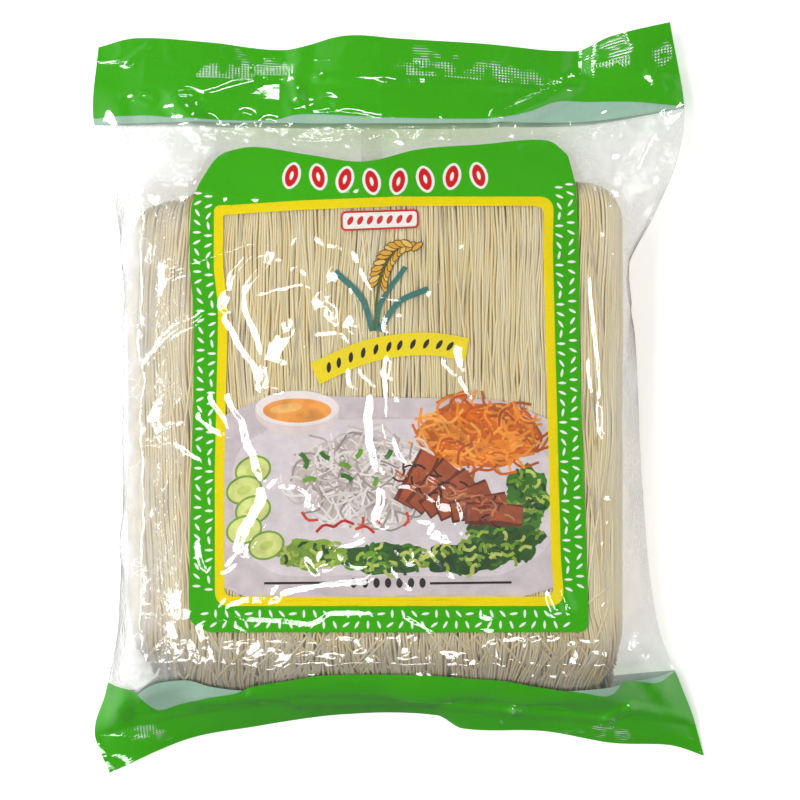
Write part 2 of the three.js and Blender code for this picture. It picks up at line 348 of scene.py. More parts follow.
# Creases where slack film stands off the block, as (half width, points). The rounder rises that follow are
# (middle, radii, height).
CREASES = [
    (1.0, [(-108, 48), (-107, 53), (-106, 59), (-94, 62), (-79, 67), (-66, 71), (-58, 70), (-54, 67)]),
    (1.0, [(-108, 48), (-105, 53), (-100, 56), (-94, 58)]),
    (2.0, [(-80, 40), (-78, 44), (-76, 49)]),
    (1.2, [(-76, 48), (-76, 53), (-72, 59), (-65, 65), (-53, 67)]),
    (1.2, [(-80, 37), (-75, 31), (-71, 23), (-65, 15), (-63, 9)]),
    (1.2, [(-70, 48), (-70, 43), (-68, 37), (-64, 29), (-62, 19)]),
    (3.4, [(-62, 17), (-61, 10), (-61, 3)]),
    (1.2, [(-70, 48), (-65, 54), (-59, 60), (-53, 65)]),
    (3.2, [(-60, 63), (-54, 65), (-49, 68), (-44, 71), (-39, 72)]),
    (1.6, [(-39, 72), (-33, 70), (-27, 69), (-20, 66), (-18, 60)]),
    (1.4, [(-70, 48), (-64, 48), (-57, 50), (-51, 51), (-45, 52), (-39, 50), (-35, 47)]),
    (1.0, [(-49, 58), (-45, 59), (-40, 54), (-37, 50)]),
    (2.4, [(-32, 57), (-27, 53), (-22, 47), (-24, 40)]),
    (5.0, [(-37, 47), (-31, 41), (-25, 34), (-22, 28)]),
    (4.2, [(-57, 16), (-53, 22), (-46, 27), (-38, 28)]),
    (1.8, [(-46, 28), (-39, 30), (-31, 30), (-25, 28), (-22, 23)]),
    (1.1, [(-18, 60), (-13, 51), (-7, 46), (5, 45)]),
    (1.2, [(-7, 30), (-6, 35), (-3, 38), (4, 39)]),
    (1.2, [(-122, 13), (-117, 14), (-113, 19), (-103, 29), (-93, 34), (-88, 37), (-81, 36)]),
    (1.7, [(-93, -8), (-88, -11), (-83, -14), (-78, -17)]),
    (1.1, [(-86, 2), (-83, -3), (-79, -8), (-78, -13), (-78, -18)]),
    (1.3, [(-78, 2), (-75, -4), (-71, -9), (-69, -15), (-67, -21)]),
    (1.2, [(-122, -24), (-116, -21), (-108, -20), (-101, -20), (-96, -23), (-92, -26), (-87, -30)]),
    (1.1, [(-21, 15), (-23, 10), (-20, 5), (-17, 4)]),
    (1.2, [(-19, 13), (-14, 9), (-11, 5)]),
    (2.2, [(-3, 21), (-5, 15), (-6, 8)]),
    (1.4, [(-6, 8), (-3, 2), (1, -1)]),
    (1.8, [(-70, -11), (-69, -18), (-66, -25), (-64, -31), (-62, -38)]),
    (2.6, [(-62, -39), (-62, -46), (-65, -53), (-68, -59), (-71, -65), (-73, -70)]),
    (1.1, [(-72, -69), (-75, -73), (-79, -77), (-84, -78), (-88, -76), (-90, -71), (-91, -63)]),
    (1.5, [(-62, -48), (-60, -43), (-55, -39), (-50, -39), (-45, -40), (-40, -44), (-37, -49)]),
    (2.2, [(-42, -47), (-39, -48), (-37, -47)]),
    (2.4, [(-13, 4), (-13, -3), (-13, -12), (-13, -19), (-12, -25), (-10, -31), (-7, -35)]),
    (2.4, [(-8, -39), (-8, -45), (-9, -51), (-11, -57)]),
    (1.3, [(-11, -57), (-15, -61), (-22, -65), (-29, -67), (-32, -70)]),
    (1.0, [(-6, 16), (-6, 7), (-6, -3), (-6, -12)]),
    (1.7, [(-6, 6), (-3, 2), (-1, -1)]),
    (1.7, [(-9, -10), (-8, -14), (-7, -18)]),
    (1.2, [(-4, -13), (-2, -19), (1, -26), (6, -30), (12, -34), (18, -38), (24, -44), (28, -50), (27, -61)]),
    (1.5, [(-3, -40), (2, -39), (7, -40), (12, -44), (17, -47)]),
    (2.6, [(17, -48), (21, -48), (25, -47)]),
    (1.3, [(5, -54), (12, -55), (18, -56), (28, -56)]),
    (3.0, [(13, -60), (19, -62), (25, -61)]),
    (3.0, [(-40, -77), (-36, -74), (-31, -70)]),
    (1.3, [(-29, -69), (-25, -73), (-19, -76), (-12, -74), (-8, -72)]),
    (1.5, [(-8, -73), (-12, -77), (-17, -81), (-24, -82), (-32, -83), (-40, -83)]),
    (1.5, [(-32, -83), (-40, -84), (-49, -86), (-55, -87), (-58, -90), (-70, -90), (-77, -92), (-82, -96)]),
    (1.0, [(-6, -66), (-2, -68), (1, -71), (4, -74), (7, -71), (5, -67)]),
    (1.0, [(-4, -75), (0, -81), (6, -86)]),
    (1.0, [(12, -67), (17, -72), (22, -78), (25, -81)]),
    (2.6, [(26, 26), (27, 19), (27, 12)]),
    (1.4, [(27, 12), (29, 7), (33, 0)]),
    (1.6, [(19, 18), (23, 13), (27, 10)]),
    (1.0, [(21, 57), (13, 46)]),
    (1.0, [(33, 73), (28, 68)]),
    (1.1, [(86, 20), (86, 12), (87, 3)]),
    (1.4, [(91, -2), (91, -10), (92, -18)]),
    (1.0, [(86, 60), (87, 45), (89, 27), (91, 0)]),
    (1.1, [(-91, -98), (-83, -98), (-69, -99), (-51, -100), (-42, -101),
           (-37, -99), (-32, -96), (-24, -96), (-8, -96)]),
    (1.0, [(-83, -100), (-76, -101), (-71, -104), (-64, -106), (-56, -107)]),
    (1.8, [(-91, -102), (-89, -106), (-88, -109)]),
    (1.2, [(-96, -104), (-94, -110), (-92, -115), (-88, -119)]),
    (1.3, [(-88, -116), (-83, -113), (-78, -111), (-64, -109), (-47, -111),
           (-38, -110), (-30, -109), (-25, -107)]),
    (1.1, [(-68, -116), (-62, -113), (-43, -113), (-33, -112), (-24, -113), (-15, -114), (-8, -116)]),
    (1.4, [(-103, -123), (-98, -125), (-91, -127), (-83, -128), (-73, -128),
           (-67, -126), (-51, -122), (-35, -123)]),
    (1.2, [(-35, -123), (-28, -121), (-20, -120), (-12, -119), (-6, -117)]),
    (1.0, [(-80, -132), (-73, -129), (-64, -128), (-55, -126), (-46, -124)]),
    (1.2, [(-69, -121), (-64, -123), (-57, -122), (-51, -120), (-47, -122)]),
    (2.4, [(-101, -104), (-99, -108), (-97, -110)]),
    (1.0, [(-87, -117), (-82, -119), (-76, -121), (-73, -122)]),
    (1.0, [(0, -96), (13, -104), (20, -108)]),
    (1.2, [(0, -108), (8, -107), (4, -114), (0, -117)]),
    (1.4, [(36, -97), (40, -99), (44, -98)]),
    (1.2, [(34, -103), (40, -104), (46, -102)]),
    (2.0, [(66, -87), (69, -92), (71, -98)]),
    (1.6, [(72, -86), (75, -92), (77, -97)]),
    (1.6, [(20, -115), (27, -117), (32, -118)]),
    (1.0, [(36, -112), (44, -108), (50, -106), (57, -110), (49, -113)]),
    (1.0, [(57, -108), (66, -107), (76, -108)]),
    (1.0, [(56, -124), (60, -122), (64, -121)]),
]
DOMES = [
    ((-105, -8), (13, 6), 1.3),
    ((-98, -93), (4, 5), 1.0),
    ((-100, -107), (4, 5), 1.0),
]
# Creases beyond the block and in the welded ends, which the back sheet follows in part.
END_CREASES = [
    (2.2, [(-140, -163), (-135, -165), (-128, -165), (-121, -163), (-117, -159), (-113, -154)]),
    (1.0, [(-104, -145), (-101, -151), (-99, -157)]),
    (1.0, [(-139, -142), (-134, -141), (-133, -147)]),
    (1.0, [(-65, -134), (-58, -136), (-49, -141), (-38, -141), (-29, -141)]),
    (1.3, [(26, -134), (31, -137), (28, -140)]),
    (1.0, [(34, -142), (42, -139)]),
    (1.0, [(66, -145.3), (74, -146.3)]),
    (1.0, [(-132, 142), (-127, 143), (-121, 143), (-117, 142), (-115, 140), (-118, 138), (-126, 141)]),
    (1.0, [(-111, 146), (-108, 142), (-104, 144), (-98, 144), (-94, 142), (-98, 141), (-105, 141)]),
    (1.0, [(-91, 142), (-93, 139), (-94, 137)]),
    (1.4, [(-42, 137), (-38, 137), (-36, 140), (-33, 140), (-30, 137), (-29, 134)]),
    (1.2, [(-112, 126), (-106, 127), (-100, 127), (-93, 129), (-87, 129), (-83, 126)]),
    (1.2, [(-78, 128), (-74, 132), (-71, 132), (-66, 126), (-62, 129), (-52, 125), (-51, 127)]),
    (1.3, [(-50, 129), (-50, 134), (-42, 132), (-29, 132), (-20, 131), (-8, 128), (0, 127)]),
    (1.0, [(-89, 125), (-80, 123), (-71, 120), (-65, 117)]),
    (1.0, [(-50, 118), (-39, 117), (-28, 117), (-20, 116), (-11, 116)]),
    (1.0, [(-131, 158), (-117, 168)]),
    (1.0, [(-71, 156), (-63, 159), (-55, 162)]),
    (1.5, [(115, 153.5), (119, 151), (124, 150), (132, 146)]),
    (1.0, [(118, 149), (126, 145.5)]),
    (1.0, [(18.4, 131), (22.6, 121.6)]),
    (1.1, [(79.4, 127.5), (87, 129.4), (99.5, 133.6), (110.7, 136)]),
    (2.0, [(106, 141), (113, 135.3), (117.5, 128), (113.7, 119), (110, 109.5), (109, 106)]),
    (1.6, [(103, 129), (112, 122), (119, 127)]),
    (1.1, [(132.4, 139), (120.3, 130.6)]),
    (1.4, [(116.5, 120.7), (123, 117)]),
    (1.2, [(108, 112), (104, 103), (101, 92)]),
]
LIT_FROM = np.array([-0.8, -0.6])  # on the plan, towards the lights at the left and at the bottom end


def crease_lift(creases, x, y):
    """Height of the creases in slack film: of two that cross, the higher counts."""
    # Each flank leans just far enough to mirror the light that it faces, on the left or at the bottom end.
    facing_left, facing_bottom = 0.62 + 0.0016 * x, 0.45 + 0.0017 * y
    uneven = 1 + 0.1 * noise(x, y, (9, 9), 52)
    lift = np.zeros_like(x)
    for half_width, points in creases:
        path = path_through(points, 2)
        side = sideways(path)
        # The flank that is lit runs through the points, so the crest lies a little behind them.
        path = path - half_width * side * np.clip(1.4 * side @ LIT_FROM, -1, 1)[:, None]
        reach = 4 * half_width
        (x0, y0), (x1, y1) = path.min(0) - reach, path.max(0) + reach
        close = (x > x0) & (x < x1) & (y > y0) & (y < y1)
        away, share = near_path(path, x[close], y[close])
        ragged = noise(x[close], y[close], (5, 7), 51) + noise(x[close], y[close], (2.4, 2.9), 53)
        away = away + half_width * 0.25 * ragged
        taper = np.clip(np.minimum(share, 1 - share) * 5, 0, 1) ** 0.5
        # The mesh rounds off narrow ridges, which are made steeper for it.
        bottom_share = np.interp(share, np.linspace(0, 1, len(path)), side[:, 1] ** 2)
        # Wide ones lean a little less, so that their middles are lit too.
        lean = 1 - 0.13 * min(max(half_width - 1.5, 0) / 1.5, 1)
        steepness = lerp(facing_left[close], facing_bottom[close], bottom_share) * uneven[close] * lean
        height = (half_width + 0.4 / half_width) * steepness * taper
        ridge = height * np.exp(-((away / half_width) ** 2) / 2)
        lift[close] = np.maximum(lift[close], ridge)
    return lift


def dome_lift(x, y):
    """Height of the rounder rises."""
    lift = np.zeros_like(x)
    for (cx, cy), (wide, tall), height in DOMES:
        out = np.hypot((x - cx) / wide, (y - cy) / tall) + 0.25 * noise(x, y, (5, 5), int(200 + cx))
        lift = np.maximum(lift, height * np.exp(-out * np.abs(out)))
    return lift


def wrinkles(x, y):
    """Crumples of the slack film: sharp ridges, deep round the block and below the label, faint on top."""
    loose = np.sqrt(np.clip(1 - (np.maximum(block_half(x, y), 0) / MIDDLE) ** 2, 0, 1))
    below_label = ramp(y, -103, -109)
    corner = ramp(np.abs(x), 80, 120) * ramp(np.abs(y), 90, 120)
    fine = 0.55 * web(x, y, (13, 8), 11) + 0.3 * web(x, y, (7, 5), 12) + 0.12 * web(x, y, (4, 5), 18)
    broad = 1.3 * web(x, y, (26, 20), 13) + 0.4 * noise(x, y, (16, 16), 14) + 0.4
    scribble = 0.7 * web(x, y, (16, 6), 16) + 0.45 * web(x, y, (9, 4), 17) + 0.2 * web(x, y, (5, 3), 19)
    sway = 0.5 * noise(x, y, (24, 30), 15) + 0.5
    # Dimples over the turn from the block's flat top to its sides.
    dimples = 4 * loose * (1 - loose) * (0.3 + 0.7 * noise(x, y, (6.5, 5.5), 24))
    # The printed ends and the title's part of the label are smoother.
    printed_end = ramp(y, 122, 129) + ramp(y, -127, -134)
    printed_end += ramp(y, 90, 96) * ramp(y, 119, 115) * ramp(np.abs(x + 5), 88, 80)
    crumples = (0.08 + loose + corner) * fine + loose * broad + below_label * scribble + dimples
    return crumples * (1 - 0.75 * printed_end) + 0.35 * sway


# Where the weld's pressed ribs stand out, as (middle, radii).
RIB_PATCHES = [
    ((-87, 152), (8, 6)), ((-74, 158), (6, 8)), ((-60, 157), (10, 4)), ((13, 156), (17, 9)),
    ((48, 152), (22, 7)), ((101, 164), (9, 8)), ((124, 163), (4, 6)),
    ((-118, -158), (12, 5)), ((96, -158), (14, 5)),
]


def weld_pressing(x, y):
    """For the film's grid: how deep the weld is pressed, and mm outwards from the weld's inner border."""
    pressed = np.full_like(x, 0.12)
    for (cx, cy), (wide, tall) in RIB_PATCHES:
        out = np.hypot((x - cx) / wide, (y - cy) / tall) + 0.4 * noise(x, y, (5, 4), 31)
        pressed = np.maximum(pressed, np.clip(2.5 - 2 * out, 0, 1))
    row = np.indices(x.shape)[0]
    way_out = np.maximum(SEAL_ROWS - row, row - SEAL_ROWS - BODY_ROWS) / SEAL_ROWS * WELD_WIDTH
    pressed *= np.clip(0.8 + 0.9 * noise(x, y, (3.4, 2.3), 32), 0, 1)
    return np.where(way_out >= 0, pressed, 0), np.maximum(way_out, 0)


@functools.cache
def film_grid():
    """Row by row from the bottom end: x, y, both sheets' outside heights, and the front ink's height."""
    xs, ys = [], []
    for k, strip in enumerate(STRIPS):
        # A strip's first row is the last row of the strip before it.
        share, u = (grid[(k > 0):] for grid in strip_grid(strip[0]))
        x, y = plan_of(strip, u, share)
        xs.append(x)
        ys.append(y)
    x, y = np.concatenate(xs), np.concatenate(ys)

    def front_limits(px, py):
        half = bridged_half(px, py)
        return np.where(half < 0, -99, MIDDLE + half + block_crown(px, py)), np.full_like(px, 99)

    def back_limits(px, py):
        half = block_half(px, py)
        return np.zeros_like(px), np.where(half < 0, 99, MIDDLE - half)

    low_seal = seal_heights(BOTTOM_EDGE, BOTTOM_WELD, SEAL_ROWS)
    high_seal = seal_heights(TOP_WELD, TOP_EDGE, SEAL_ROWS)
    front, back = (
        np.concatenate([low_seal, tight_body(limits)[1:], high_seal[1:]])
        for limits in (front_limits, back_limits)
    )
    bend = fold_lift(BAG_FOLDS, x, y)
    gap = ramp(front - back, 0, 8)
    off_floor = back > 0
    wave = 0.7 * noise(x, y, (17, 22), 21) * (1 - gap) + 0.35 * web(x, y, (12, 10), 22) * (1 - gap)
    pressed, way_out = weld_pressing(x, y)
    ribs = 0.04 * pressed * np.sin(way_out / RIB_PITCH * 2 * np.pi)
    end_creases = crease_lift(END_CREASES, x, y)
    creases = np.maximum(crease_lift(CREASES, x, y), dome_lift(x, y)) + wrinkles(x, y)
    base = front + bend + wave + gap * fold_lift(FRONT_FOLDS, x, y) + FILM_HALF_GAP
    under = 0.35 * web(x, y, (14, 11), 23) * gap
    back = back + bend + 0.25 * end_creases + wave - under + ribs - FILM_HALF_GAP
    back = np.where(off_floor, np.maximum(back, 0.02), 0.02)
    front = np.maximum(base + end_creases + gap * creases + ribs, back + 2 * FILM_HALF_GAP)
    # The ink lies between the film's two webs, and the inner web follows the creases only in part.
    ink = np.maximum(base + 0.25 * (end_creases + gap * creases), back + FILM_HALF_GAP + INK_DEPTH)
    return x, y, front, back, np.minimum(ink, front) - INK_DEPTH


def film_height(x, y, layer):
    """Height of a layer of the film at any points, read between the points of the film's own grid."""
    z = film_grid()[2 + ["front", "back", "ink"].index(layer)]
    row, column = grid_place(x, y)
    i, j = np.clip(row.astype(int), 0, z.shape[0] - 2), np.clip(column.astype(int), 0, COLUMNS - 1)
    fi, fj = row - i, column - j
    return lerp(lerp(z[i, j], z[i, j + 1], fj), lerp(z[i + 1, j], z[i + 1, j + 1], fj), fi)


# --------------------------------------------------------------------------------------------------
# Meshes and materials


def in_frame(points):
    """Plan millimetres to metres in the model's frame, where the outline just fills the solid's box."""
    x, y = film_grid()[:2]
    out = np.array(points, float) * MM
    for axis, plan in ((0, x), (1, y)):
        low, high = plan.min() * MM, plan.max() * MM
        out[:, axis] = lerp(BAG_LOW[axis], BAG_HIGH[axis], (out[:, axis] - low) / (high - low))
    return out


def add_piece(name, points, faces, material, record_slot, **point_values):
    """A smooth-shaded mesh that rides on the body and stands for the solid, with a number for each point."""
    mesh = bpy.data.meshes.new(name)
    mesh.from_pydata(in_frame(points).tolist(), [], faces if isinstance(faces, list) else faces.tolist())
    mesh.shade_smooth()
    for key, values in point_values.items():
        layer = mesh.attributes.new(key, "FLOAT", "POINT")
        layer.data.foreach_set("value", np.ravel(values).astype(np.float32))
    mesh.materials.append(material)
    piece = bpy.data.objects.new(name, mesh)
    bpy.context.scene.collection.objects.link(piece)
    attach(piece, "root")
    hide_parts("noodle_bag")
    return piece


def grid_faces(rows, columns, flip=False):
    """Quads of a grid of points that is stored row by row."""
    i, j = np.meshgrid(np.arange(rows - 1), np.arange(columns - 1), indexing="ij")
    a = (i * columns + j).ravel()
    quads = np.stack([a, a + 1, a + columns + 1, a + columns], 1)
    return quads[:, ::-1] if flip else quads


def linear(hex_colour):
    """A colour given in sRGB hex, as the linear values that shaders take."""
    channels = (int(hex_colour[k:k + 2], 16) / 255 for k in (0, 2, 4))
    return tuple(c / 12.92 if c <= 0.04045 else ((c + 0.055) / 1.055) ** 2.4 for c in channels)


def add_node(tree, kind, inputs=None, **settings):
    """Adds a node. An input is a value, a socket of another node, or a node, which gives its first output."""
    node = tree.nodes.new(kind)
    for name, value in settings.items():
        setattr(node, name, value)
    for name, value in (inputs or {}).items():
        if isinstance(value, bpy.types.Node):
            value = next(output for output in value.outputs if output.enabled)
        if isinstance(value, bpy.types.NodeSocket):
            tree.links.new(value, node.inputs[name])
        else:
            node.inputs[name].default_value = value
    return node


def new_material(name):
    material = bpy.data.materials.new(name)
    material.use_nodes = True
    material.node_tree.nodes.clear()
    return material, material.node_tree


def clear_film_material(settings):
    """Biaxially drawn polypropylene film: clear and glossy, with sharp reflections, and milky where slack."""
    material, tree = new_material("bopp_film_clear")
    place = add_node(tree, "ShaderNodeTexCoord").outputs["Object"]
    haze, tint, pressed, way_out = (
        add_node(tree, "ShaderNodeAttribute", attribute_name=name).outputs["Fac"]
        for name in ("haze", "tint", "pressed", "way_out")
    )
    # Crinkles about 3 mm apart, finer than the mesh holds, and deeper where the film is slack.
    crinkle = add_node(
        tree, "ShaderNodeTexNoise", {"Vector": place, "Scale": 330, "Detail": 3, "Roughness": 0.5}
    )
    depth = add_node(tree, "ShaderNodeMath", {0: haze, 1: 1.5, 2: 0.06}, operation="MULTIPLY_ADD")
    bump = add_node(tree, "ShaderNodeBump", {"Height": crinkle, "Strength": depth, "Distance": 0.0006})
    # Hairline folds are drawn white, partly the film's own whitening along them and partly painted highlights
    # of its crinkles. Their net has meshes 7 mm wide and shows in places only.
    swirl = add_node(tree, "ShaderNodeTexNoise", {"Vector": place, "Scale": 60, "Detail": 2})
    bent = add_node(
        tree, "ShaderNodeVectorMath", {0: swirl.outputs["Color"], 1: (0.02, 0.02, 0.02), 2: place},
        operation="MULTIPLY_ADD",
    )
    net = add_node(tree, "ShaderNodeTexVoronoi", {"Vector": bent, "Scale": 140}, feature="DISTANCE_TO_EDGE")
    line = add_node(
        tree, "ShaderNodeMapRange",
        {"Value": net, "From Min": 0.0, "From Max": 0.06, "To Min": 1.0, "To Max": 0.0},
    )
    shown = add_node(
        tree, "ShaderNodeMapRange",
        {"Value": swirl, "From Min": 0.5, "From Max": 0.68, "To Min": 0.0, "To Max": 0.5},
    )
    fold = add_node(tree, "ShaderNodeMath", {0: line, 1: shown}, operation="MULTIPLY")
    milk_and_glints = add_node(tree, "ShaderNodeMath", {0: fold, 1: haze, 2: haze}, operation="MULTIPLY_ADD")
    # The weld's ribs, and on its inner half the cuts across them. Where they press deepest the film is drawn
    # white, as painted highlights on the rib crests.
    across = add_node(tree, "ShaderNodeSeparateXYZ", {"Vector": place})
    waves = []
    for along, pitch in ((way_out, RIB_PITCH), (across, CUT_PITCH * MM)):
        phase = add_node(tree, "ShaderNodeMath", {0: along, 1: 2 * math.pi / pitch}, operation="MULTIPLY")
        waves.append(add_node(tree, "ShaderNodeMath", {0: phase}, operation="SINE"))
    inner = add_node(tree, "ShaderNodeMath", {0: way_out, 1: WELD_WIDTH * 0.45}, operation="LESS_THAN")
    relief = add_node(tree, "ShaderNodeMath", {0: waves[1], 1: inner, 2: waves[0]}, operation="MULTIPLY_ADD")
    relief = add_node(tree, "ShaderNodeMath", {0: relief, 1: pressed}, operation="MULTIPLY")
    weld = add_node(tree, "ShaderNodeBump", {"Height": relief, "Distance": 0.00006, "Normal": bump})
    painted_rib_glint = add_node(
        tree, "ShaderNodeMapRange",
        {"Value": relief, "From Min": 0.45, "From Max": 1.0, "To Min": 0.0, "To Max": 0.75},
    )
    milk_and_glints = add_node(tree, "ShaderNodeMath", {0: milk_and_glints, 1: painted_rib_glint}, operation="ADD", use_clamp=True)
    # A thin sheet mirrors alike from both sides, so its index is turned round for light from behind.
    behind = add_node(tree, "ShaderNodeNewGeometry").outputs["Backfacing"]
    index = add_node(
        tree, "ShaderNodeMix", {"Factor": behind, "A": settings.film_ior, "B": 1 / settings.film_ior}
    )
    fresnel = add_node(tree, "ShaderNodeFresnel", {"IOR": index, "Normal": weld})
    gloss = add_node(
        tree, "ShaderNodeBsdfGlossy",
        {"Color": (1, 1, 1, 1), "Roughness": settings.film_roughness, "Normal": weld}, distribution="GGX",
    )
    clear = add_node(tree, "ShaderNodeBsdfTransparent", {"Color": (0.985, 0.985, 0.98, 1)})
    # Painted reflection: the slack film beside the green print is drawn green, for the green light that the
    # print throws on it.
    glow = add_node(
        tree, "ShaderNodeMix", {"Factor": tint, "A": (0.96, 0.96, 0.95, 1), "B": (*settings.reflected_green_colour, 1)},
        data_type="RGBA",
    )
    milk = add_node(tree, "ShaderNodeBsdfDiffuse", {"Color": glow})
    body = add_node(tree, "ShaderNodeMixShader", {0: milk_and_glints, 1: clear, 2: milk})
    film = add_node(tree, "ShaderNodeMixShader", {0: fresnel, 1: body, 2: gloss})
    add_node(tree, "ShaderNodeOutputMaterial", {"Surface": film})
    return material


def ink_material(name, colour=None):
    """Gravure ink on the film's inside: an even flat coat whose density drifts a little, under the gloss."""
    material, tree = new_material(name)
    place = add_node(tree, "ShaderNodeTexCoord").outputs["Object"]
    if colour is None:
        coat = add_node(tree, "ShaderNodeAttribute", attribute_name="ink").outputs["Color"]
    else:
        coat = add_node(tree, "ShaderNodeRGB").outputs["Color"]
        coat.default_value = (*colour, 1)
    # The ink's density drifts over about 30 mm, and its dots are drawn 1 mm apart so that they show.
    drift = add_node(tree, "ShaderNodeTexNoise", {"Vector": place, "Scale": 33, "Detail": 2})
    dots = add_node(tree, "ShaderNodeTexNoise", {"Vector": place, "Scale": 1000, "Detail": 1})
    blend = add_node(tree, "ShaderNodeMath", {0: drift, 1: dots}, operation="ADD")
    density = add_node(
        tree, "ShaderNodeMapRange",
        {"Value": blend, "From Min": 0.6, "From Max": 1.4, "To Min": 1.07, "To Max": 0.93},
    )
    tone = add_node(tree, "ShaderNodeVectorMath", {0: coat, "Scale": density}, operation="SCALE")
    paint = add_node(
        tree, "ShaderNodeBsdfPrincipled", {"Base Color": tone, "Roughness": 0.6, "Specular IOR Level": 0.05}
    )
    add_node(tree, "ShaderNodeOutputMaterial", {"Surface": paint})
    return material


def noodle_material(settings):
    """Dry rice starch, extruded and air dried: dull, faintly see-through, each strand a shade of its own."""
    material, tree = new_material("dried_rice_starch_extruded")
    place = add_node(tree, "ShaderNodeTexCoord").outputs["Object"]
    strand = add_node(tree, "ShaderNodeAttribute", attribute_name="strand_shade").outputs["Fac"]
    # Bundles of strands, about 9 mm wide, dried a little paler or browner along 80 mm.
    drawn = add_node(tree, "ShaderNodeMapping", {"Vector": place, "Scale": (110, 12, 110)})
    drift = add_node(tree, "ShaderNodeTexNoise", {"Vector": drawn, "Scale": 1, "Detail": 2})
    bundle = add_node(
        tree, "ShaderNodeMapRange",
        {"Value": drift, "From Min": 0.35, "From Max": 0.65, "To Min": 0.0, "To Max": 1.0},
    )
    mixed = add_node(tree, "ShaderNodeMix", {"Factor": 0.5, "A": strand, "B": bundle})
    tone = add_node(
        tree, "ShaderNodeMix", {"Factor": mixed, "A": (*settings.pale, 1), "B": (*settings.brown, 1)},
        data_type="RGBA",
    )
    # Painted shade: the bent strands of the bottom end are drawn darker, as they curve away into deeper shadow.
    along = add_node(tree, "ShaderNodeSeparateXYZ", {"Vector": place}).outputs["Y"]
    painted_end_shade = add_node(
        tree, "ShaderNodeMapRange",
        {"Value": along, "From Min": -0.12, "From Max": -0.098, "To Min": 0.52, "To Max": 1.0},
    )
    tone = add_node(tree, "ShaderNodeVectorMath", {0: tone, "Scale": painted_end_shade}, operation="SCALE")
    # Flow marks of the die, 0.4 mm apart along the strand.
    marks = add_node(tree, "ShaderNodeTexNoise", {"Vector": place, "Scale": 2500, "Detail": 1})
    bump = add_node(tree, "ShaderNodeBump", {"Height": marks, "Strength": 0.2, "Distance": 0.0001})
    paint = add_node(
        tree, "ShaderNodeBsdfPrincipled",
        {
            "Base Color": tone, "Roughness": 0.42, "Specular IOR Level": 0.4, "Normal": bump,
            "Subsurface Weight": 0.5, "Subsurface Radius": (1.0, 0.8, 0.5), "Subsurface Scale": 0.002,
        },
    )
    add_node(tree, "ShaderNodeOutputMaterial", {"Surface": paint})
    return material


# --------------------------------------------------------------------------------------------------
# Settings


def colour_property(name, description, hex_colour):
    return FloatVectorProperty(
        name=name, description=description, subtype="COLOR", size=3, min=0, max=1, default=linear(hex_colour)
    )


class FilmSettings(bpy.types.PropertyGroup):
    """The bag's clear film."""

    film_ior: FloatProperty(
        name="Index of refraction", description="Raised, as both faces of the film reflect", default=2.0,
        min=1, max=3,
    )
    film_roughness: FloatProperty(
        name="Roughness", description="How far the film blurs a reflection", default=0.06, min=0, max=1
    )
    slack_haze: FloatProperty(
        name="Haze", description="Share of light that slack film scatters", default=0.34, min=0, max=1
    )
    # Painted reflection: the green light that the print throws on the slack film beside it.
    reflected_green_colour: colour_property("Green glow", "Colour of the slack film beside the green print", "BFD39C")


class NoodleSettings(bpy.types.PropertyGroup):
    """The block of rice noodles."""

    strand: FloatProperty(
        name="Strand", description="Thickness of a strand", default=1.25 * MM, min=0.5 * MM, max=4 * MM,
        subtype="DISTANCE", unit="LENGTH",
    )
    seed: IntProperty(name="Seed", description="Which arrangement of strands", default=7)
    pale: colour_property("Pale strands", "Colour of the palest strands", "FFEEC6")
    brown: colour_property("Dark strands", "Colour of the darkest strands", "ECD29A")
    core: colour_property("Gaps", "Colour seen between the strands", "F2DCAA")


class PrintSettings(bpy.types.PropertyGroup):
    """The inks on the inside of the film."""

    seed: IntProperty(name="Seed", description="Which arrangement of the printed dish", default=3)
    green: colour_property("Green", "Ends and label field", "3EB403")
    yellow: colour_property("Yellow", "Line and banner", "F6E000")
    white: colour_property("White", "Rice-grain border and name plate", "FBFBF6")
    red: colour_property("Red", "Title ornament and name plate", "D81A1E")
    mint: colour_property("Mint", "Inner side of the green ink", "A8CCB8")


class StageSettings(bpy.types.PropertyGroup):
    """The floor, the lights and the camera."""

    camera_height: FloatProperty(
        name="Camera height", description="Of the camera over the floor", default=0.9, min=0.2, max=5,
        subtype="DISTANCE", unit="LENGTH",
    )
    view_width: FloatProperty(
        name="View width", description="What the picture spans 20 mm over the floor", default=0.3736, min=0.1,
        max=2, subtype="DISTANCE", unit="LENGTH",
    )
    floor: colour_property("Floor", "Colour of the floor", "F6F6F4")


# --------------------------------------------------------------------------------------------------
# Pieces


# How far the block's rounded corners stay short of its ends, as (x, mm).
LOW_CUT = [(-126, 20), (-110, 10), (-94, 2), (-84, 0), (88, 0), (104, 8)]
HIGH_CUT = [(-126, 20), (-118, 12), (-110, 10), (-96, 6), (-88, 0), (86, 0), (104, 9)]


def section(inset):
    """Half of the block's section at a depth: x and the height over its middle, from left to right."""
    turn = np.linspace(0, np.pi / 2, 40)
    side_x = (BLOCK["side_round"] - inset) * np.cos(turn)
    side_z = np.maximum((MIDDLE - inset) * np.sin(turn), 1.2)
    left_x = BLOCK["left"] + BLOCK["side_round"] - side_x
    right_x = BLOCK["right"] - BLOCK["side_round"] + side_x
    return np.concatenate([left_x, right_x[::-1]]), np.concatenate([side_z, side_z[::-1]])


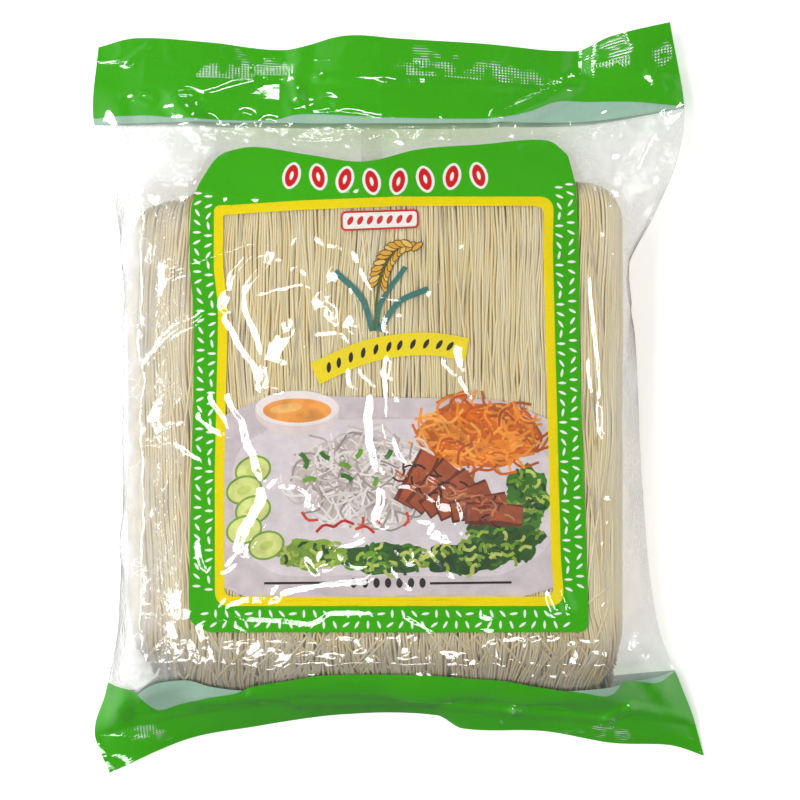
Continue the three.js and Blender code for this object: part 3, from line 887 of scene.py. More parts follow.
def half_loop(x, half, inset, upper, step):
    """y and z along a strand, from the middle of the bottom end over the block to that of the top end."""
    scale = half / (MIDDLE - inset)
    low_round, high_round = (BLOCK["bottom_round"] - inset) * scale, (BLOCK["top_round"] - inset) * scale
    low_y = BLOCK["bottom"] + BLOCK["bottom_round"] + smooth(LOW_CUT, x)
    high_y = BLOCK["top"] - BLOCK["top_round"] - smooth(HIGH_CUT, x)
    turn = np.linspace(0, np.pi / 2, 8)
    flat_y = np.linspace(low_y, high_y, int((BLOCK["top"] - BLOCK["bottom"]) / step))[1:-1]
    y = np.concatenate([low_y - low_round * np.cos(turn), flat_y, high_y + high_round * np.sin(turn)])
    z = np.concatenate([half * np.sin(turn), np.full(len(flat_y), half), half * np.cos(turn)])
    return y, MIDDLE + (z if upper else -z)


def tubes(paths, radius, sides):
    """Points, faces and each point's shade, for closed round tubes along the (shade, path) pairs."""
    points, faces, shades = [], [], []
    first = 0
    for shade, path in paths:
        tangent = np.gradient(path, axis=0)
        tangent /= np.linalg.norm(tangent, axis=1)[:, None]
        across = np.array([1.0, 0, 0]) - tangent[:, :1] * tangent
        across /= np.linalg.norm(across, axis=1)[:, None]
        up = np.cross(tangent, across)
        angle = np.arange(sides) * 2 * np.pi / sides
        ring = across[:, None] * np.cos(angle)[:, None] + up[:, None] * np.sin(angle)[:, None]
        rings = path[:, None] + ring * radius
        count = len(path)
        points.append(rings.reshape(-1, 3))
        i, j = np.meshgrid(np.arange(count - 1), np.arange(sides), indexing="ij")
        a, b = first + i * sides + j, first + i * sides + (j + 1) % sides
        faces += np.stack([a, b, b + sides, a + sides], -1).reshape(-1, 4).tolist()
        faces.append([first + k for k in range(sides)][::-1])
        faces.append([first + (count - 1) * sides + k for k in range(sides)])
        shades.append(np.full(count * sides, shade))
        first += count * sides
    return np.concatenate(points), faces, np.concatenate(shades)


def strand_layer(pitch, inset, upper, seed):
    """Strands side by side over one half of the block at a depth, wavy, in bundles and with a few gaps."""
    rng = np.random.default_rng(seed)
    across, height = section(inset)
    at = np.concatenate([[0], np.cumsum(np.hypot(np.diff(across), np.diff(height)))])
    paths, s = [], pitch / 2
    while s < at[-1]:
        x, half = np.interp(s, at, across), np.interp(s, at, height)
        s += pitch * rng.uniform(0.78, 1.0) + (pitch * rng.uniform(0.1, 0.5) if rng.random() < 0.08 else 0)
        y, z = half_loop(x, half, inset, upper, 5)
        here, own = np.full_like(y, x), np.full_like(y, rng.uniform(0, 1000))
        near_end = ramp(y, -88, -128)
        drift = 3.2 * noise(here, y, (30, 70), seed + 1) + 1.5 * noise(here, y, (9, 30), seed + 2)
        wobble = 0.7 * noise(own, y, (1, 19), seed + 3)
        tangle = near_end * (6 * noise(here, y, (14, 24), seed + 4) + 1.8 * noise(own, y, (1, 12), seed + 5))
        flat = np.clip(half / MIDDLE * 1.3 - 0.3, 0, 1)
        sink = 0.3 * (1 + noise(own, y, (1, 23), seed + 6)) * (1 + near_end)
        px = x + flat * (drift + wobble + tangle)
        toward = (z - MIDDLE) / MIDDLE
        rise = np.maximum(toward, 0) * block_crown(px, y)
        paths.append((rng.random(), np.stack([px, y, z + rise - toward * sink], 1)))
    return paths


def stray_strands(radius, seed):
    """Strands that lie askew on the block: long ones over its top, and short bent ones at its bottom end."""
    rng = np.random.default_rng(seed)
    paths = []
    for k in range(240):
        at_end = k >= 120
        low = -132 if at_end else -100
        x0, y0 = rng.uniform(-108, 92), rng.uniform(low, -94 if at_end else 92)
        length = rng.uniform(16, 48) if at_end else rng.uniform(50, 150)
        slope = rng.uniform(-1.2, 1.2) if at_end else rng.uniform(-0.16, 0.16)
        share = np.linspace(-0.5, 0.5, int(length / (2.5 if at_end else 5)) + 3)
        bow = rng.uniform(-0.25, 0.25) * length * (share**2 - 0.25) * (1 if at_end else 0.2)
        turn = math.atan(slope)
        x = x0 + share * length * math.sin(turn) + bow * math.cos(turn)
        y = y0 + share * length * math.cos(turn) - bow * math.sin(turn)
        half = block_half(x, y)
        within = (half > 5) & (x < 96) & (x > -116) & (y > -130) & (y < 86)
        if within.sum() < 4:
            continue
        x, y, half = x[within], y[within], half[within]
        lean = np.hypot(
            block_half(x + 0.5, y) - block_half(x - 0.5, y), block_half(x, y + 0.5) - block_half(x, y - 0.5)
        )
        dive = 1.5 * np.abs(np.linspace(-1, 1, len(x))) ** 5
        z = MIDDLE + half + half / MIDDLE * block_crown(x, y) - (radius + 0.15) * np.hypot(1, lean) - dive
        paths.append((rng.random(), np.stack([x, y, z], 1)))
    return paths


class NOODLEBAG_OT_noodles(bpy.types.Operator):
    """Add the block of dry rice noodles"""

    bl_idname = "noodlebag.noodles"
    bl_label = "Noodles"

    def execute(self, context):
        settings = context.scene.noodlebag_noodles
        material = noodle_material(settings)
        thick, seed = settings.strand / MM, settings.seed
        radius = thick / 2
        layers = [
            ("noodles_front", strand_layer(thick, radius + 0.15, True, seed), 6),
            ("noodles_front_under", strand_layer(thick, radius + 1.2, True, seed + 20), 5),
            ("noodles_back", strand_layer(thick, radius + 0.15, False, seed + 40), 5),
            ("noodles_stray", stray_strands(radius, seed + 60), 6),
        ]
        for name, paths, sides in layers:
            points, faces, shades = tubes(paths, radius, sides)
            add_piece(name, points, faces, material, "rice_noodles", strand_shade=shades)
        self.add_core(settings)
        return {"FINISHED"}

    def add_core(self, settings):
        """The inside of the block, seen between the strands."""
        material, tree = new_material("rice_starch_in_shadow")
        place = add_node(tree, "ShaderNodeTexCoord").outputs["Object"]
        # Strands deeper in, drawn as streaks 3 mm wide along the block. The darker streaks are painted shade
        # between them.
        stretch = add_node(tree, "ShaderNodeMapping", {"Vector": place, "Scale": (330, 12, 330)})
        streak = add_node(tree, "ShaderNodeTexNoise", {"Vector": stretch, "Scale": 1, "Detail": 3})
        shaded_core = tuple(c * 0.7 for c in settings.core)
        tone = add_node(
            tree, "ShaderNodeMix", {"Factor": streak, "A": (*shaded_core, 1), "B": (*settings.core, 1)},
            data_type="RGBA",
        )
        paint = add_node(tree, "ShaderNodeBsdfDiffuse", {"Color": tone})
        add_node(tree, "ShaderNodeOutputMaterial", {"Surface": paint})
        depth, points, faces = 2.8, [], []
        for upper in (True, False):
            first = sum(len(p) for p in points)
            places = list(zip(*section(depth)))[::2]
            for x, half in places:
                y, z = half_loop(x, half, depth, upper, 8)
                points.append(np.stack([np.full_like(y, x), y, z], 1))
            faces += (grid_faces(len(places), len(y), flip=upper) + first).tolist()
        add_piece("noodles_inside", np.concatenate(points), faces, material, "rice_noodles")


# Where the film is milkier or clearer, as (middle, radii, change in the share that it scatters).
MILKY_PATCHES = [
    ((-150, 0), (36, 400), 0.55),
    ((-110, 125), (45, 35), 0.2),
    ((-118, -125), (30, 25), 0.25),
    ((112, 125), (34, 32), 0.3),
    ((0, 122), (75, 24), 0.05),
    ((118, 0), (20, 90), 0.15),
    ((-103, -134), (16, 9), -0.55),
    ((120, -120), (40, 35), -0.2),
]


def haze_of(x, y, share):
    """Share of light that the film scatters on its grid: most where it is slack, next to none over ink."""
    for (cx, cy), (wide, tall), change in MILKY_PATCHES:
        share = share + change * np.exp(-((x - cx) / wide) ** 2 - ((y - cy) / tall) ** 2)
    slack = np.clip(1 - 0.8 * block_half(x, y) / MIDDLE, 0, 1)
    on_sides = 0.17 * ramp(x, -70, -110) + 0.3 * ramp(x, -109, -121) + 0.04
    cloud = 0.8 + 0.25 * noise(x, y, (12, 15), 41) + 0.15 * noise(x, y, (4, 5), 42)
    window = inside(WINDOW, x, y)
    veil = np.where(window, 0.03, on_sides + share * slack) * cloud
    # It fades out over 3 to 5 mm towards the printed parts, so that their edges stay clean.
    label = (inside(LABEL, x, y) & ~window).astype(float)
    for spread in (np.maximum, np.maximum, lerp, lerp, lerp):
        for axis in (0, 1):
            for way in (-1, 1):
                beside = np.roll(label, way, axis)
                label = spread(label, beside, 0.33) if spread is lerp else spread(label, beside)
    top = np.minimum(smooth(TOP_BAND_FRONT, x), smooth(TOP_BAND_BACK, x))
    bottom = np.maximum(smooth(BOTTOM_BAND_FRONT, x), smooth(BOTTOM_BAND_BACK, x))
    return 0.004 + np.clip(veil, 0, 0.9) * (1 - label) * ramp(top - y, 0, 3) * ramp(y - bottom, 0, 3)


def tint_of(x, y):
    """How far the slack film is drawn green: a painted reflection of the green print next to it."""
    return np.exp(-((x + 5) / 78) ** 4 - ((y - 124) / 16) ** 2)


class NOODLEBAG_OT_film(bpy.types.Operator):
    """Add the clear film's front and back sheets"""

    bl_idname = "noodlebag.film"
    bl_label = "Clear film"

    def execute(self, context):
        settings = context.scene.noodlebag_film
        material = clear_film_material(settings)
        x, y, front, back, _ = film_grid()
        pressed, way_out = weld_pressing(x, y)
        for name, step, z, share in (("film_front", 1, front, 1), ("film_back", 2, back, 0.4)):
            px, py, pz = x[::step, ::step], y[::step, ::step], z[::step, ::step]
            points = np.stack([px, py, pz], -1).reshape(-1, 3)
            faces = grid_faces(*px.shape, flip=z is back)
            haze = share * haze_of(px, py, settings.slack_haze)
            add_piece(
                name, points, faces, material, "clear_film", haze=haze, tint=tint_of(px, py),
                pressed=pressed[::step, ::step], way_out=way_out[::step, ::step],
            )
        # The lapped seam down the back is a second layer of film.
        sx, sy = np.meshgrid(np.linspace(*SEAM_X, 5), np.linspace(*SEAM_Y, 150))
        sz = film_height(sx, sy, "back") + SEAM_DEPTH
        points = np.stack([sx, sy, sz], -1).reshape(-1, 3)
        haze, tint = np.full(sx.shape, 0.3), np.zeros(sx.shape)
        faces = grid_faces(*sx.shape, flip=True)
        add_piece("back_seam", points, faces, material, "clear_film", haze=haze, tint=tint)
        rim = [np.concatenate([a[0], a[1:, -1], a[-1, -2::-1], a[-2:0:-1, 0]]) for a in (x, y, front, back)]
        count = len(rim[0])
        edges = np.concatenate([np.stack([rim[0], rim[1], z], 1) for z in rim[2:]])
        k = np.arange(count)
        faces = np.stack([k, count + k, count + (k + 1) % count, (k + 1) % count], 1)
        haze, tint = np.full(2 * count, 0.1), np.zeros(2 * count)
        add_piece("film_rim", edges, faces, material, "clear_film", haze=haze, tint=tint)
        return {"FINISHED"}


# Where the printed ends stop on each sheet, as (x, y).
TOP_BAND_FRONT = [
    (-145, 132), (-120, 133), (-100, 131), (-60, 130), (-45, 133), (-5, 131), (45, 131), (60, 134),
    (75, 140), (90, 140), (110, 140), (133, 138),
]
TOP_BAND_BACK = [(-145, 129), (-100, 129), (0, 128), (60, 129), (90, 130), (133, 137)]
BOTTOM_BAND_FRONT = [
    (-137, -133.5), (-122, -134.6), (-117, -141.5), (-112.7, -145.4), (-102, -141.7), (-88, -137),
    (-75, -134.6), (-67, -131), (-50, -128), (-34, -125.4), (12, -125.3), (35.7, -127.2), (48.8, -128.2),
    (60, -130.5), (71, -132.4), (84.5, -134.2), (94, -136.2), (99, -135.2), (103, -130), (113, -131),
    (120, -132), (133, -128),
]
BOTTOM_BAND_BACK = [
    (-137, -137.5), (-123, -137), (-114, -131), (-108, -129), (-96, -128), (-86, -131), (-70, -133),
    (-40, -132), (0, -131), (60, -134), (133, -128),
]


def band_mesh(edge, end_line, layer, rise, rows):
    """Points and quads of a printed end, from its edge on the film out to the cut end of the bag."""
    columns = 220
    u = np.linspace(-1, 1, columns + 1)
    top = end_line is TOP_EDGE
    points = []
    for r in range(rows + 1):
        share = r / rows
        x = np.linspace(edge[0][0], edge[-1][0], columns + 1)
        for _ in range(6):
            y = lerp(smooth(edge, x), line_y(end_line, u), share)
            left = smooth(LEFT_FOLD["plan"], lerp(edge[0][1], line_y(end_line, -1.0), share))
            right = smooth(RIGHT_FOLD["plan"], lerp(edge[-1][1], line_y(end_line, 1.0), share))
            x = lerp(left, right, (u + 1) / 2)
        points.append(np.stack([x, y, film_height(x, y, layer) + rise], 1))
    faces = grid_faces(rows + 1, columns + 1, flip=(layer == "ink") != top)
    return np.concatenate(points), faces


class NOODLEBAG_OT_bands(bpy.types.Operator):
    """Add the green printed ends, with their pale inner side"""

    bl_idname = "noodlebag.bands"
    bl_label = "Printed ends"

    def execute(self, context):
        inks = context.scene.noodlebag_print
        green = ink_material("gravure_ink_green", inks.green)
        mint = ink_material("gravure_ink_backing_mint", inks.mint)
        ends = [
            ("top_band_front", TOP_BAND_FRONT, TOP_BAND_BACK, TOP_EDGE, "ink", 0, 60),
            ("bottom_band_front", BOTTOM_BAND_FRONT, BOTTOM_BAND_BACK, BOTTOM_EDGE, "ink", 0, 44),
            ("top_band_back", TOP_BAND_BACK, TOP_BAND_BACK, TOP_EDGE, "back", INK_DEPTH, 48),
            ("bottom_band_back", BOTTOM_BAND_BACK, BOTTOM_BAND_BACK, BOTTOM_EDGE, "back", INK_DEPTH, 40),
        ]
        for name, edge, backing_edge, end_line, layer, rise, rows in ends:
            points, faces = band_mesh(edge, end_line, layer, rise, rows)
            add_piece(name, points, faces, green, "green_print")
            # The pale backing of a front end runs past its green in places.
            under = rise + (BACKING_DEPTH - INK_DEPTH) * (1 if rise else -1)
            points, faces = band_mesh(backing_edge, end_line, layer, under, rows)
            add_piece(name + "_inside", points, faces[:, ::-1], mint, "green_print")
        return {"FINISHED"}


# --------------------------------------------------------------------------------------------------
# The printed label


def rounded(corners, radius):
    """A closed outline with each corner turned into an arc of the radius, as far as its sides leave room."""
    outline = []
    ends = [Vector(corner) for corner in corners]
    for k, corner in enumerate(ends):
        before, after = ends[k - 1] - corner, ends[(k + 1) % len(ends)] - corner
        u, v = before.normalized(), after.normalized()
        turn = math.pi - u.angle(v)
        reach = min(radius * math.tan(turn / 2), before.length * 0.49, after.length * 0.49)
        if turn < 0.1:
            outline.append(tuple(corner))
            continue
        start, end = corner + u * reach, corner + v * reach
        for t in np.linspace(0, 1, 2 + int(turn / 0.25)):
            outline.append(tuple(start * (1 - t) ** 2 + corner * 2 * t * (1 - t) + end * t**2))
    return outline


def moved_inwards(corners, distance):
    """A clockwise outline moved inwards."""
    moved = []
    ends = [Vector(corner) for corner in corners]
    for k, corner in enumerate(ends):
        u, v = (corner - ends[k - 1]).normalized(), (ends[(k + 1) % len(ends)] - corner).normalized()
        into = Vector((u.y + v.y, -u.x - v.x)).normalized()
        moved.append(tuple(corner + into * distance / max(0.3, into.dot(Vector((u.y, -u.x))))))
    return moved


def inside(outline, x, y):
    """Which points lie within a closed outline."""
    within = np.zeros(x.shape, bool)
    for (ax, ay), (bx, by) in zip(outline, outline[1:] + outline[:1]):
        if ay != by:
            within ^= ((ay > y) != (by > y)) & (x < ax + (bx - ax) * (y - ay) / (by - ay))
    return within


def grain(x, y, long, wide, tilt_deg, point=1.4, sides=12):
    """A grain's outline: an oval whose ends are drawn to points when point is over 1."""
    turn = np.arange(sides) * 2 * np.pi / sides
    a = long / 2 * np.cos(turn)
    b = wide / 2 * np.sign(np.sin(turn)) * np.abs(np.sin(turn)) ** point
    c, s = math.cos(math.radians(tilt_deg)), math.sin(math.radians(tilt_deg))
    return list(zip(x + a * c - b * s, y + a * s + b * c))


def ribbon(points, wide, step=2.5):
    """The outline of a strip of even width along a path."""
    path = path_through(points, step)
    side = sideways(path) * wide / 2
    return [tuple(p) for p in np.concatenate([path + side, (path - side)[::-1]])]


# Clockwise from the upper left, as (x, y).
LABEL_TOP = [
    (-91, 98), (-88, 104), (-84.5, 110), (-79, 114), (-66.5, 116.5), (-41.4, 112.5), (-16, 109),
    (9.2, 115), (36.8, 117.5), (69, 120), (78, 112.5),
]
LABEL_RIGHT = [(80.5, 98), (81.5, 68), (82.4, 0), (84.7, -63.4), (85.7, -90.5)]
LABEL_BOTTOM = [(85.9, -105.5), (-86, -105.5), (-94.5, -101)]
LABEL_LEFT = [
    (-95.2, -90.5), (-94.2, -45), (-93.1, 0), (-92.8, 31.7), (-93.3, 45), (-94.6, 59), (-94.8, 72.4),
    (-94.2, 87),
]
LABEL = rounded([*map(tuple, path_through(LABEL_TOP, 4)), *LABEL_RIGHT, *LABEL_BOTTOM, *LABEL_LEFT], 5)
LINE_RIGHT = [(70.2, 91.9), (69.7, 68), (73.3, -72), (75, -93.5)]
LINE_LEFT = [(-83.3, -93.5), (-83.3, -32), (-82.6, 0), (-82, 25), (-81.9, 43), (-83.8, 59), (-83.8, 88)]
LINE_OUTSIDE = [(-77, 88), (-45, 90.1), (0, 91.9), *LINE_RIGHT, *LINE_LEFT]
LINE_WIDTH = 4.3
LINE = rounded(LINE_OUTSIDE, 6.8)
WINDOW = rounded(moved_inwards(LINE_OUTSIDE, LINE_WIDTH), 4.5)

# The rice-grain border: tilts of the grains in each column, seen on the left, and rows for the bottom.
OUTER_TILTS = [0, 28, -58, -40]
INNER_TILTS = [0, 25, 55, -80]
UPPER_TILTS = [8, 90, -70, -48]
LOWER_TILTS = [35, 60, 90, -68]
GRAIN_PITCH, GRAIN_LONG, GRAIN_WIDE = 4.45, 3.9, 1.25


def grain_border():
    """White grains of rice, tilted in turn, down both sides of the label and along its bottom."""
    grains = []
    for side, edge, line in ((-1, LABEL_LEFT[::-1], LINE_LEFT[::-1]), (1, LABEL_RIGHT, LINE_RIGHT)):
        edge_x = lambda y: np.interp(-y, [-p[1] for p in edge], [p[0] for p in edge])
        line_x = lambda y: np.interp(-y, [-p[1] for p in line], [p[0] for p in line])
        for share, tilts, start in ((0.29, OUTER_TILTS, 93.5), (0.76, INNER_TILTS, 92)):
            start += GRAIN_PITCH if side > 0 else 0
            count = int((start + 92) / GRAIN_PITCH)
            for k in range(count):
                y = start - k * GRAIN_PITCH
                x = lerp(edge_x(y), line_x(y), share)
                grains.append(grain(x, y, GRAIN_LONG, GRAIN_WIDE, -side * tilts[k % 4]))
    for y, tilts, start, end in ((-97, UPPER_TILTS, -88, 80), (-102, LOWER_TILTS, -84, 83)):
        for k in range(int((end - start) / 5)):
            grains.append(grain(start + k * 5, y, GRAIN_LONG, GRAIN_WIDE, tilts[k % 4]))
    return grains


def printed_dish(rng):
    """A printed plate of noodles with other food, as (colour, outline) from the bottom up."""

    def blob(x, y, wide, tall, frill, lobes):
        turn = np.arange(48) * 2 * np.pi / 48
        size = 1 + frill * np.sin(lobes * turn + rng.uniform(0, 6)) + frill * rng.uniform(-0.5, 0.5, 48)
        return list(zip(x + wide / 2 * size * np.cos(turn), y + tall / 2 * size * np.sin(turn)))

    def pick(colours):
        return colours[rng.integers(len(colours))]

    def strokes(colours, count, x, y, wide, tall, long, thick, curl):
        """Short bent strips scattered over an oval."""
        for _ in range(count):
            away, turn, aim = math.sqrt(rng.random()) * 0.5, rng.uniform(0, 6.3), rng.uniform(0, 6.3)
            cx, cy = x + wide * away * math.cos(turn), y + tall * away * math.sin(turn)
            dx, dy = long / 2 * math.cos(aim), long / 2 * math.sin(aim) * 0.7
            bend = curl * long
            knots = [(cx - dx, cy - dy), (cx - dy * bend / long, cy + dx * bend / long), (cx + dx, cy + dy)]
            shapes.append((pick(colours), ribbon(knots, thick, 2)))

    plate = [(-95, -14), (-58, 2), (46, 0), (95, -20), (95, -78), (50, -91), (-66, -91), (-95, -78)]
    well = [(-76, -22), (-50, -9), (40, -9), (72, -26), (70, -68), (46, -80), (-56, -80), (-74, -66)]
    shapes = [("D6CACE", rounded(plate, 30)), ("E2D8DC", rounded(well, 24))]
    leaves = ((48, -62, 34, 24), (28, -72, 36, 14), (-6, -72, 40, 14), (-40, -70, 30, 14), (58, -44, 20, 28))
    lettuce = ["3F7A1E", "6E9E2C", "A3BE44", "1F4A16", "86A834", "2C5C18", "C2CC66"]
    for x, y, wide, tall in leaves:
        shapes.append((pick(lettuce), blob(x, y, wide, tall, 0.1, 7)))
        strokes(lettuce, 44, x, y, wide, tall, 6, 1.5, 0.5)
    # Slices of cucumber, each with its skin, flesh and seeds.
    cucumber = (("7FA83A", 17, 13, 24), ("DDE58E", 15, 11, 24), ("C9D873", 7, 4, 12))
    for x, y in ((-66, -32), (-70, -41), (-66, -50), (-70, -59), (-60, -66)):
        for colour, long, wide, sides in cucumber:
            shapes.append((colour, grain(x, y, long, wide, 20, 1, sides)))
    # The dip stands at the back on the left, and the carrot at the back on the right.
    shapes += [
        ("E9D9D6", grain(-46, -6, 38, 20, 0, 1, 32)), ("F6ECEA", grain(-46, -4, 38, 16, 0, 1, 32)),
        ("EFA24A", grain(-46, -5, 31, 11, 0, 1, 32)), ("F5BE6E", grain(-51, -4, 15, 4, 8, 1, 20)),
    ]
    shapes.append(("CF6A14", blob(36, -16, 54, 30, 0.05, 6)))
    strokes(["EE8C28", "FBAA48", "D66A18", "F29A36", "BE5610"], 150, 36, -16, 56, 32, 15, 1.2, 0.5)
    # A nest of noodles in front.
    shapes.append(("C9BCB8", blob(-16, -36, 66, 38, 0.04, 9)))
    strokes(["F3ECEA", "E2D8D4", "B9ABA6", "EDE5E2", "D5C9C4", "A2948E"], 230, -16, -36, 66, 38, 18, 0.9, 0.7)
    # Glazed slices fanned over the nest's right side.
    for k in range(6):
        x, y, lean = 8 + 7 * k, -36 - 3.2 * k, math.radians(62 - 13 * k)
        dx, dy = 13 * math.cos(lean), 13 * math.sin(lean)
        shapes.append(("6E2E18", ribbon([(x - dx, y - dy), (x, y), (x + dx, y + dy)], 10)))
        shapes.append(("A9532F", ribbon([(x - dx + 1, y - dy), (x + 1, y + 1), (x + dx, y + dy)], 7.5)))
        strokes(["C4774C", "6E2A14", "CE8A5E", "9A4526", "35160E"], 16, x, y, 18, 14, 6, 0.9, 0.3)
    strokes(["C3281E", "DD4A28"], 7, -20, -58, 60, 16, 9, 1.3, 0.5)
    strokes(["3E7A20", "6FA532"], 9, -22, -30, 50, 20, 6, 2.2, 0.3)
    return shapes


def label_shapes(inks, rng):
    """What is printed on the label from the bottom up, as (colour, outline, whether it's in the window)."""
    dark = linear("1E1A18")
    shapes = [(inks.green, LABEL, False), (inks.yellow, LINE, False), (None, WINDOW, True)]
    shapes += [(inks.white, outline, False) for outline in grain_border()]
    # A row of red lozenges and dots in the title's place.
    for k in range(8):
        x = -49 + 12.2 * k
        y = 100.6 + 1.6 * math.cos(k * 0.9)
        tilt = 90 + (12 if k % 2 else -12)
        shapes.append((inks.white, grain(x, y, 13.5, 8.4, tilt, 1.15, 20), False))
        shapes.append((inks.red, grain(x, y, 11, 5.8, tilt, 1.15, 20), False))
        shapes.append((inks.white, grain(x, y, 4.5, 1.7, tilt, 1.2), False))
    for outer, colour in ((0, inks.red), (0.9, inks.white)):
        left, right = -26.3 + outer, 9 - outer
        plate = [(left, 85.2 - outer), (right, 86.2 - outer), (right, 77.6 + outer), (left, 76.2 + outer)]
        shapes.append((colour, rounded(plate, 2.6 - outer), True))
    for k in range(7):
        shapes.append((inks.red, grain(-22 + 4.45 * k, 80.9 + 0.15 * k, 4.4, 2.4, 62, 1.1), True))
    shapes += rice_plant()
    banner = [(-38, 11.6), (-17, 20.8), (-0.5, 24.4), (16, 25), (31, 22.6)]
    shapes.append((inks.yellow, ribbon(banner, 10.4), True))
    path = path_through(banner, 1)
    for share in np.linspace(0.1, 0.9, 11):
        k = int(share * (len(path) - 1))
        lean = math.degrees(math.atan2(*(path[k + 1] - path[k - 1])[::-1]))
        shapes.append((dark, grain(*path[k], 5, 2.1, lean + 62, 1.3), True))
    shapes += [(linear(colour), outline, True) for colour, outline in printed_dish(rng)]
    # A dark rule with lozenges along the foot of the picture.
    for start, end in ((-61, -24), (14, 51)):
        shapes.append((dark, ribbon([(start, -83.2), (end, -82.8)], 1.1, 10), True))
    for k in range(7):
        shapes.append((dark, grain(-20.5 + 5.2 * k, -83, 4.6, 3, 90, 1.1), True))
    return shapes


def rice_plant():
    """A stem of ripe rice over its leaves, between the name plate and the banner."""
    shapes = []
    for points, wide in (([(-12, 31), (-17, 46), (-29, 58)], 2.6), ([(-9, 31), (0, 44), (13, 50)], 2.6),
                         ([(-11, 31), (-8, 44), (3, 60)], 2.2)):
        shapes.append((linear("3F7F78"), ribbon(points, wide), True))
    stem = path_through([(-11, 31), (-10, 46), (-7, 60), (0, 69), (8, 70)], 1)
    shapes.append((linear("5B6B1E"), ribbon(stem[::6], 1.1), True))
    for k in range(11):
        x, y = stem[int(len(stem) * (0.42 + 0.052 * k))]
        for side in (-1, 1):
            lean = 75 - 7 * k + side * 34
            away = 2.6 * side
            ripe = "E9B23C" if (k + side) % 3 else "F4CF6A"
            for colour, long, wide in (("6A4A14", 6.4, 3.1), (ripe, 5.5, 2.2)):
                outline = grain(x + away * 0.9, y - away * 0.25, long, wide, lean, 1.2)
                shapes.append((linear(colour), outline, True))
    return shapes


class NOODLEBAG_OT_label(bpy.types.Operator):
    """Add the printed label with its window, rice-grain border and printed dish"""

    bl_idname = "noodlebag.label"
    bl_label = "Label"

    def execute(self, context):
        inks = context.scene.noodlebag_print
        shapes = label_shapes(inks, np.random.default_rng(inks.seed))
        x, y = film_grid()[:2]
        on_label = inside(LABEL, x, y)
        points = [Vector(p) for p in zip(x[on_label], y[on_label])]
        loops = []
        for _, outline, _ in shapes:
            # The triangulation takes the inside to be on the left of each edge.
            area = sum(ax * by - bx * ay for (ax, ay), (bx, by) in zip(outline, outline[1:] + outline[:1]))
            loops.append(list(range(len(points), len(points) + len(outline)))[::1 if area > 0 else -1])
            points += [Vector(p) for p in outline]
        plan, _, triangles, _, _, over = delaunay_2d_cdt(points, [], loops, 1, 1e-4)
        window = next(k for k, shape in enumerate(shapes) if shape[0] is None)
        faces, coats, pictured = [], [], []
        for triangle, ids in zip(triangles, over):
            # The last shape over a triangle is the one that shows, of those on its side of the window's edge.
            in_window = window in ids
            showing = [k for k in ids if k != window and shapes[k][2] == in_window]
            if showing:
                faces.append(list(triangle))
                coats.append((*shapes[max(showing)][0], 1))
                pictured.append(in_window)
        used, faces = np.unique(np.array(faces), return_inverse=True)
        pictured = np.array(pictured)
        px, py = np.array([tuple(p) for p in plan])[used].T
        z = film_height(px, py, "ink")
        piece = add_piece(
            "label_print", np.stack([px, py, z], 1), faces.reshape(-1, 3), ink_material("gravure_inks_label"),
            "label_print",
        )
        # Each corner of a triangle holds its coat's colour, which the picture's halftone shades softly.
        shade = 0.2 * noise(px, py, (6, 5), 71) + 0.14 * noise(px, py, (2.4, 2), 72)
        shade = np.where(py < 2, shade, 0)[faces.ravel()]
        coats = np.repeat(np.array(coats), 3, 0)
        depth = (1.05 - coats[:, :3].min(1)) * pictured.repeat(3)
        coats[:, :3] = np.clip(coats[:, :3] * (1 + shade * depth)[:, None], 0, 1)
        colour = piece.data.attributes.new("ink", "FLOAT_COLOR", "CORNER")
        colour.data.foreach_set("color", coats.astype(np.float32).ravel())
        return {"FINISHED"}


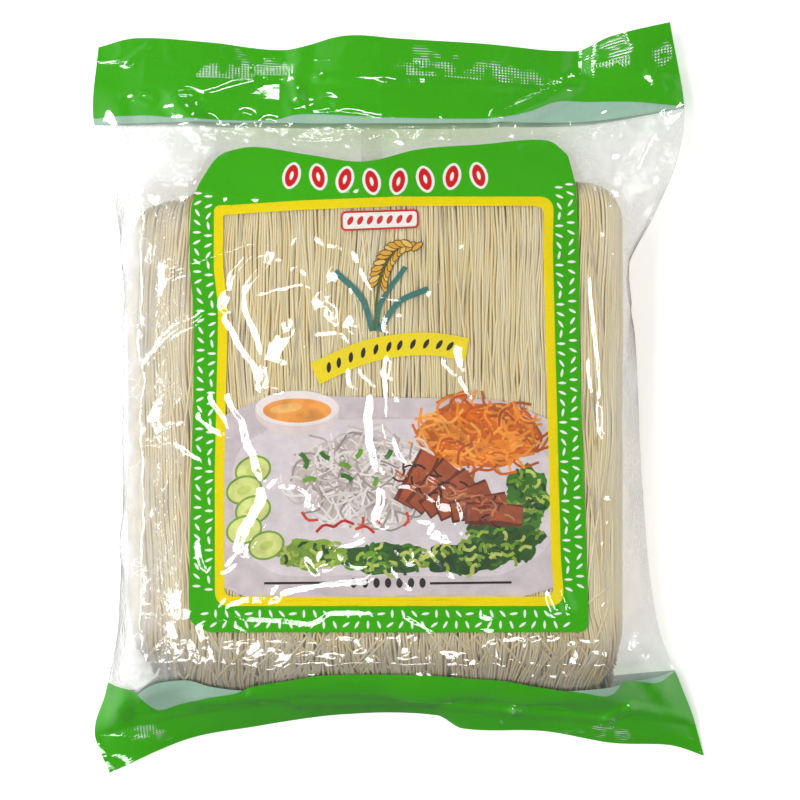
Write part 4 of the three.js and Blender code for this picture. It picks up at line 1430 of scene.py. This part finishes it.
class NOODLEBAG_OT_stage(bpy.types.Operator):
    """Add the floor, the lights and the camera over the bag"""

    bl_idname = "noodlebag.stage"
    bl_label = "Stage"

    def execute(self, context):
        settings = context.scene.noodlebag_stage
        mesh = bpy.data.meshes.new("floor")
        side, drop = 2.5, -0.0003
        corners = [(-side, -side, drop), (side, -side, drop), (side, side, drop), (-side, side, drop)]
        mesh.from_pydata(corners, [], [(0, 1, 2, 3)])
        floor = bpy.data.objects.new("floor", mesh)
        context.scene.collection.objects.link(floor)
        material, tree = new_material("matt_paper_sweep")
        paint = add_node(tree, "ShaderNodeBsdfDiffuse", {"Color": (*settings.floor, 1)})
        # The sweep is lit from below as well, so that the bag's shadow on it is faint.
        glow = add_node(tree, "ShaderNodeEmission", {"Color": (*settings.floor, 1), "Strength": 0.45})
        both = add_node(tree, "ShaderNodeAddShader", {0: paint, 1: glow})
        add_node(tree, "ShaderNodeOutputMaterial", {"Surface": both})
        mesh.materials.append(material)
        # Steep film would mirror the floor beside it, which is kept out of reflections.
        floor.visible_glossy = False

        world = bpy.data.worlds.new("studio")
        world.use_nodes = True
        tree = world.node_tree
        # Pale walls on the left and the right. The ceiling and the walls beyond both ends are dark.
        way = add_node(tree, "ShaderNodeTexCoord").outputs["Generated"]
        aside = add_node(tree, "ShaderNodeSeparateXYZ", {"Vector": way})
        aside = add_node(tree, "ShaderNodeMath", {0: aside}, operation="ABSOLUTE")
        walls = add_node(tree, "ShaderNodeValToRGB", {"Fac": aside})
        stops = [(0.0, 0.06), (0.25, 0.07), (0.55, 0.32), (0.9, 0.6)]
        while len(walls.color_ramp.elements) < len(stops):
            walls.color_ramp.elements.new(0.5)
        for element, (place, level) in zip(walls.color_ramp.elements, stops):
            element.position, element.color = place, (level, level, level, 1)
        tree.links.new(walls.outputs["Color"], tree.nodes["Background"].inputs["Color"])
        context.scene.world = world
        context.scene.view_settings.view_transform = "Standard"

        self.add_light("panel_left", (-0.7, 0.07, 1.25), (0.9, 0.52), 8.3)
        self.add_light("panel_lower_left", (-0.5, -0.5, 1.25), (0.24, 0.24), 8.3)
        self.add_light("panel_bottom", (0, -0.62, 1.2), (0.42, 0.28), 7.5)
        # Low lights beyond the top corners fill the slope towards the top weld, which mirrors little of them.
        self.add_light("panel_far_left", (-1.1, 0.85, 0.5), (0.35, 0.3), 14)
        self.add_light("panel_far_right", (1.1, 0.8, 0.5), (0.35, 0.3), 14)
        self.add_light("panel_far_end", (-0.1, 1.4, 0.14), (0.3, 0.1), 12)
        camera = bpy.data.objects.new("camera", bpy.data.cameras.new("camera"))
        context.scene.collection.objects.link(camera)
        camera.location = (0, 0, settings.camera_height)
        camera.data.sensor_width = 36
        camera.data.lens = 36 * (settings.camera_height - 0.02) / settings.view_width
        context.scene.camera = camera
        return {"FINISHED"}

    def add_light(self, name, place, sides, radiance):
        """A level panel light that faces the bag. Its power follows from its sides and its radiance."""
        data = bpy.data.lights.new(name, "AREA")
        data.shape = "RECTANGLE"
        data.size, data.size_y = sides
        data.energy = radiance * sides[0] * sides[1] * math.pi
        lamp = bpy.data.objects.new(name, data)
        lamp.location = place
        lamp.rotation_euler = (-Vector(place)).to_track_quat("-Z", "Y").to_euler()
        bpy.context.scene.collection.objects.link(lamp)


class NOODLEBAG_PT_panel(bpy.types.Panel):
    """The steps that build the bag"""

    bl_idname = "NOODLEBAG_PT_panel"
    bl_label = "Noodle bag"
    bl_space_type = "VIEW_3D"
    bl_region_type = "UI"
    bl_category = "Noodle bag"

    def draw(self, context):
        for name, settings in SETTINGS.items():
            group = getattr(context.scene, name)
            for prop in settings.__annotations__:
                self.layout.prop(group, prop)
        for step in OPERATORS:
            self.layout.operator(step.bl_idname)


SETTINGS = {
    "noodlebag_film": FilmSettings,
    "noodlebag_noodles": NoodleSettings,
    "noodlebag_print": PrintSettings,
    "noodlebag_stage": StageSettings,
}
OPERATORS = [
    NOODLEBAG_OT_noodles, NOODLEBAG_OT_film, NOODLEBAG_OT_bands, NOODLEBAG_OT_label, NOODLEBAG_OT_stage,
]


def register():
    for cls in [*SETTINGS.values(), *OPERATORS, NOODLEBAG_PT_panel]:
        bpy.utils.register_class(cls)
    for name, settings in SETTINGS.items():
        setattr(bpy.types.Scene, name, PointerProperty(type=settings))


def unregister():
    for name in SETTINGS:
        delattr(bpy.types.Scene, name)
    for cls in reversed([*SETTINGS.values(), *OPERATORS, NOODLEBAG_PT_panel]):
        bpy.utils.unregister_class(cls)


def main():
    register()
    bpy.ops.noodlebag.noodles()
    bpy.ops.noodlebag.film()
    bpy.ops.noodlebag.bands()
    bpy.ops.noodlebag.label()
    bpy.ops.noodlebag.stage()


if __name__ == "__main__":
    main()
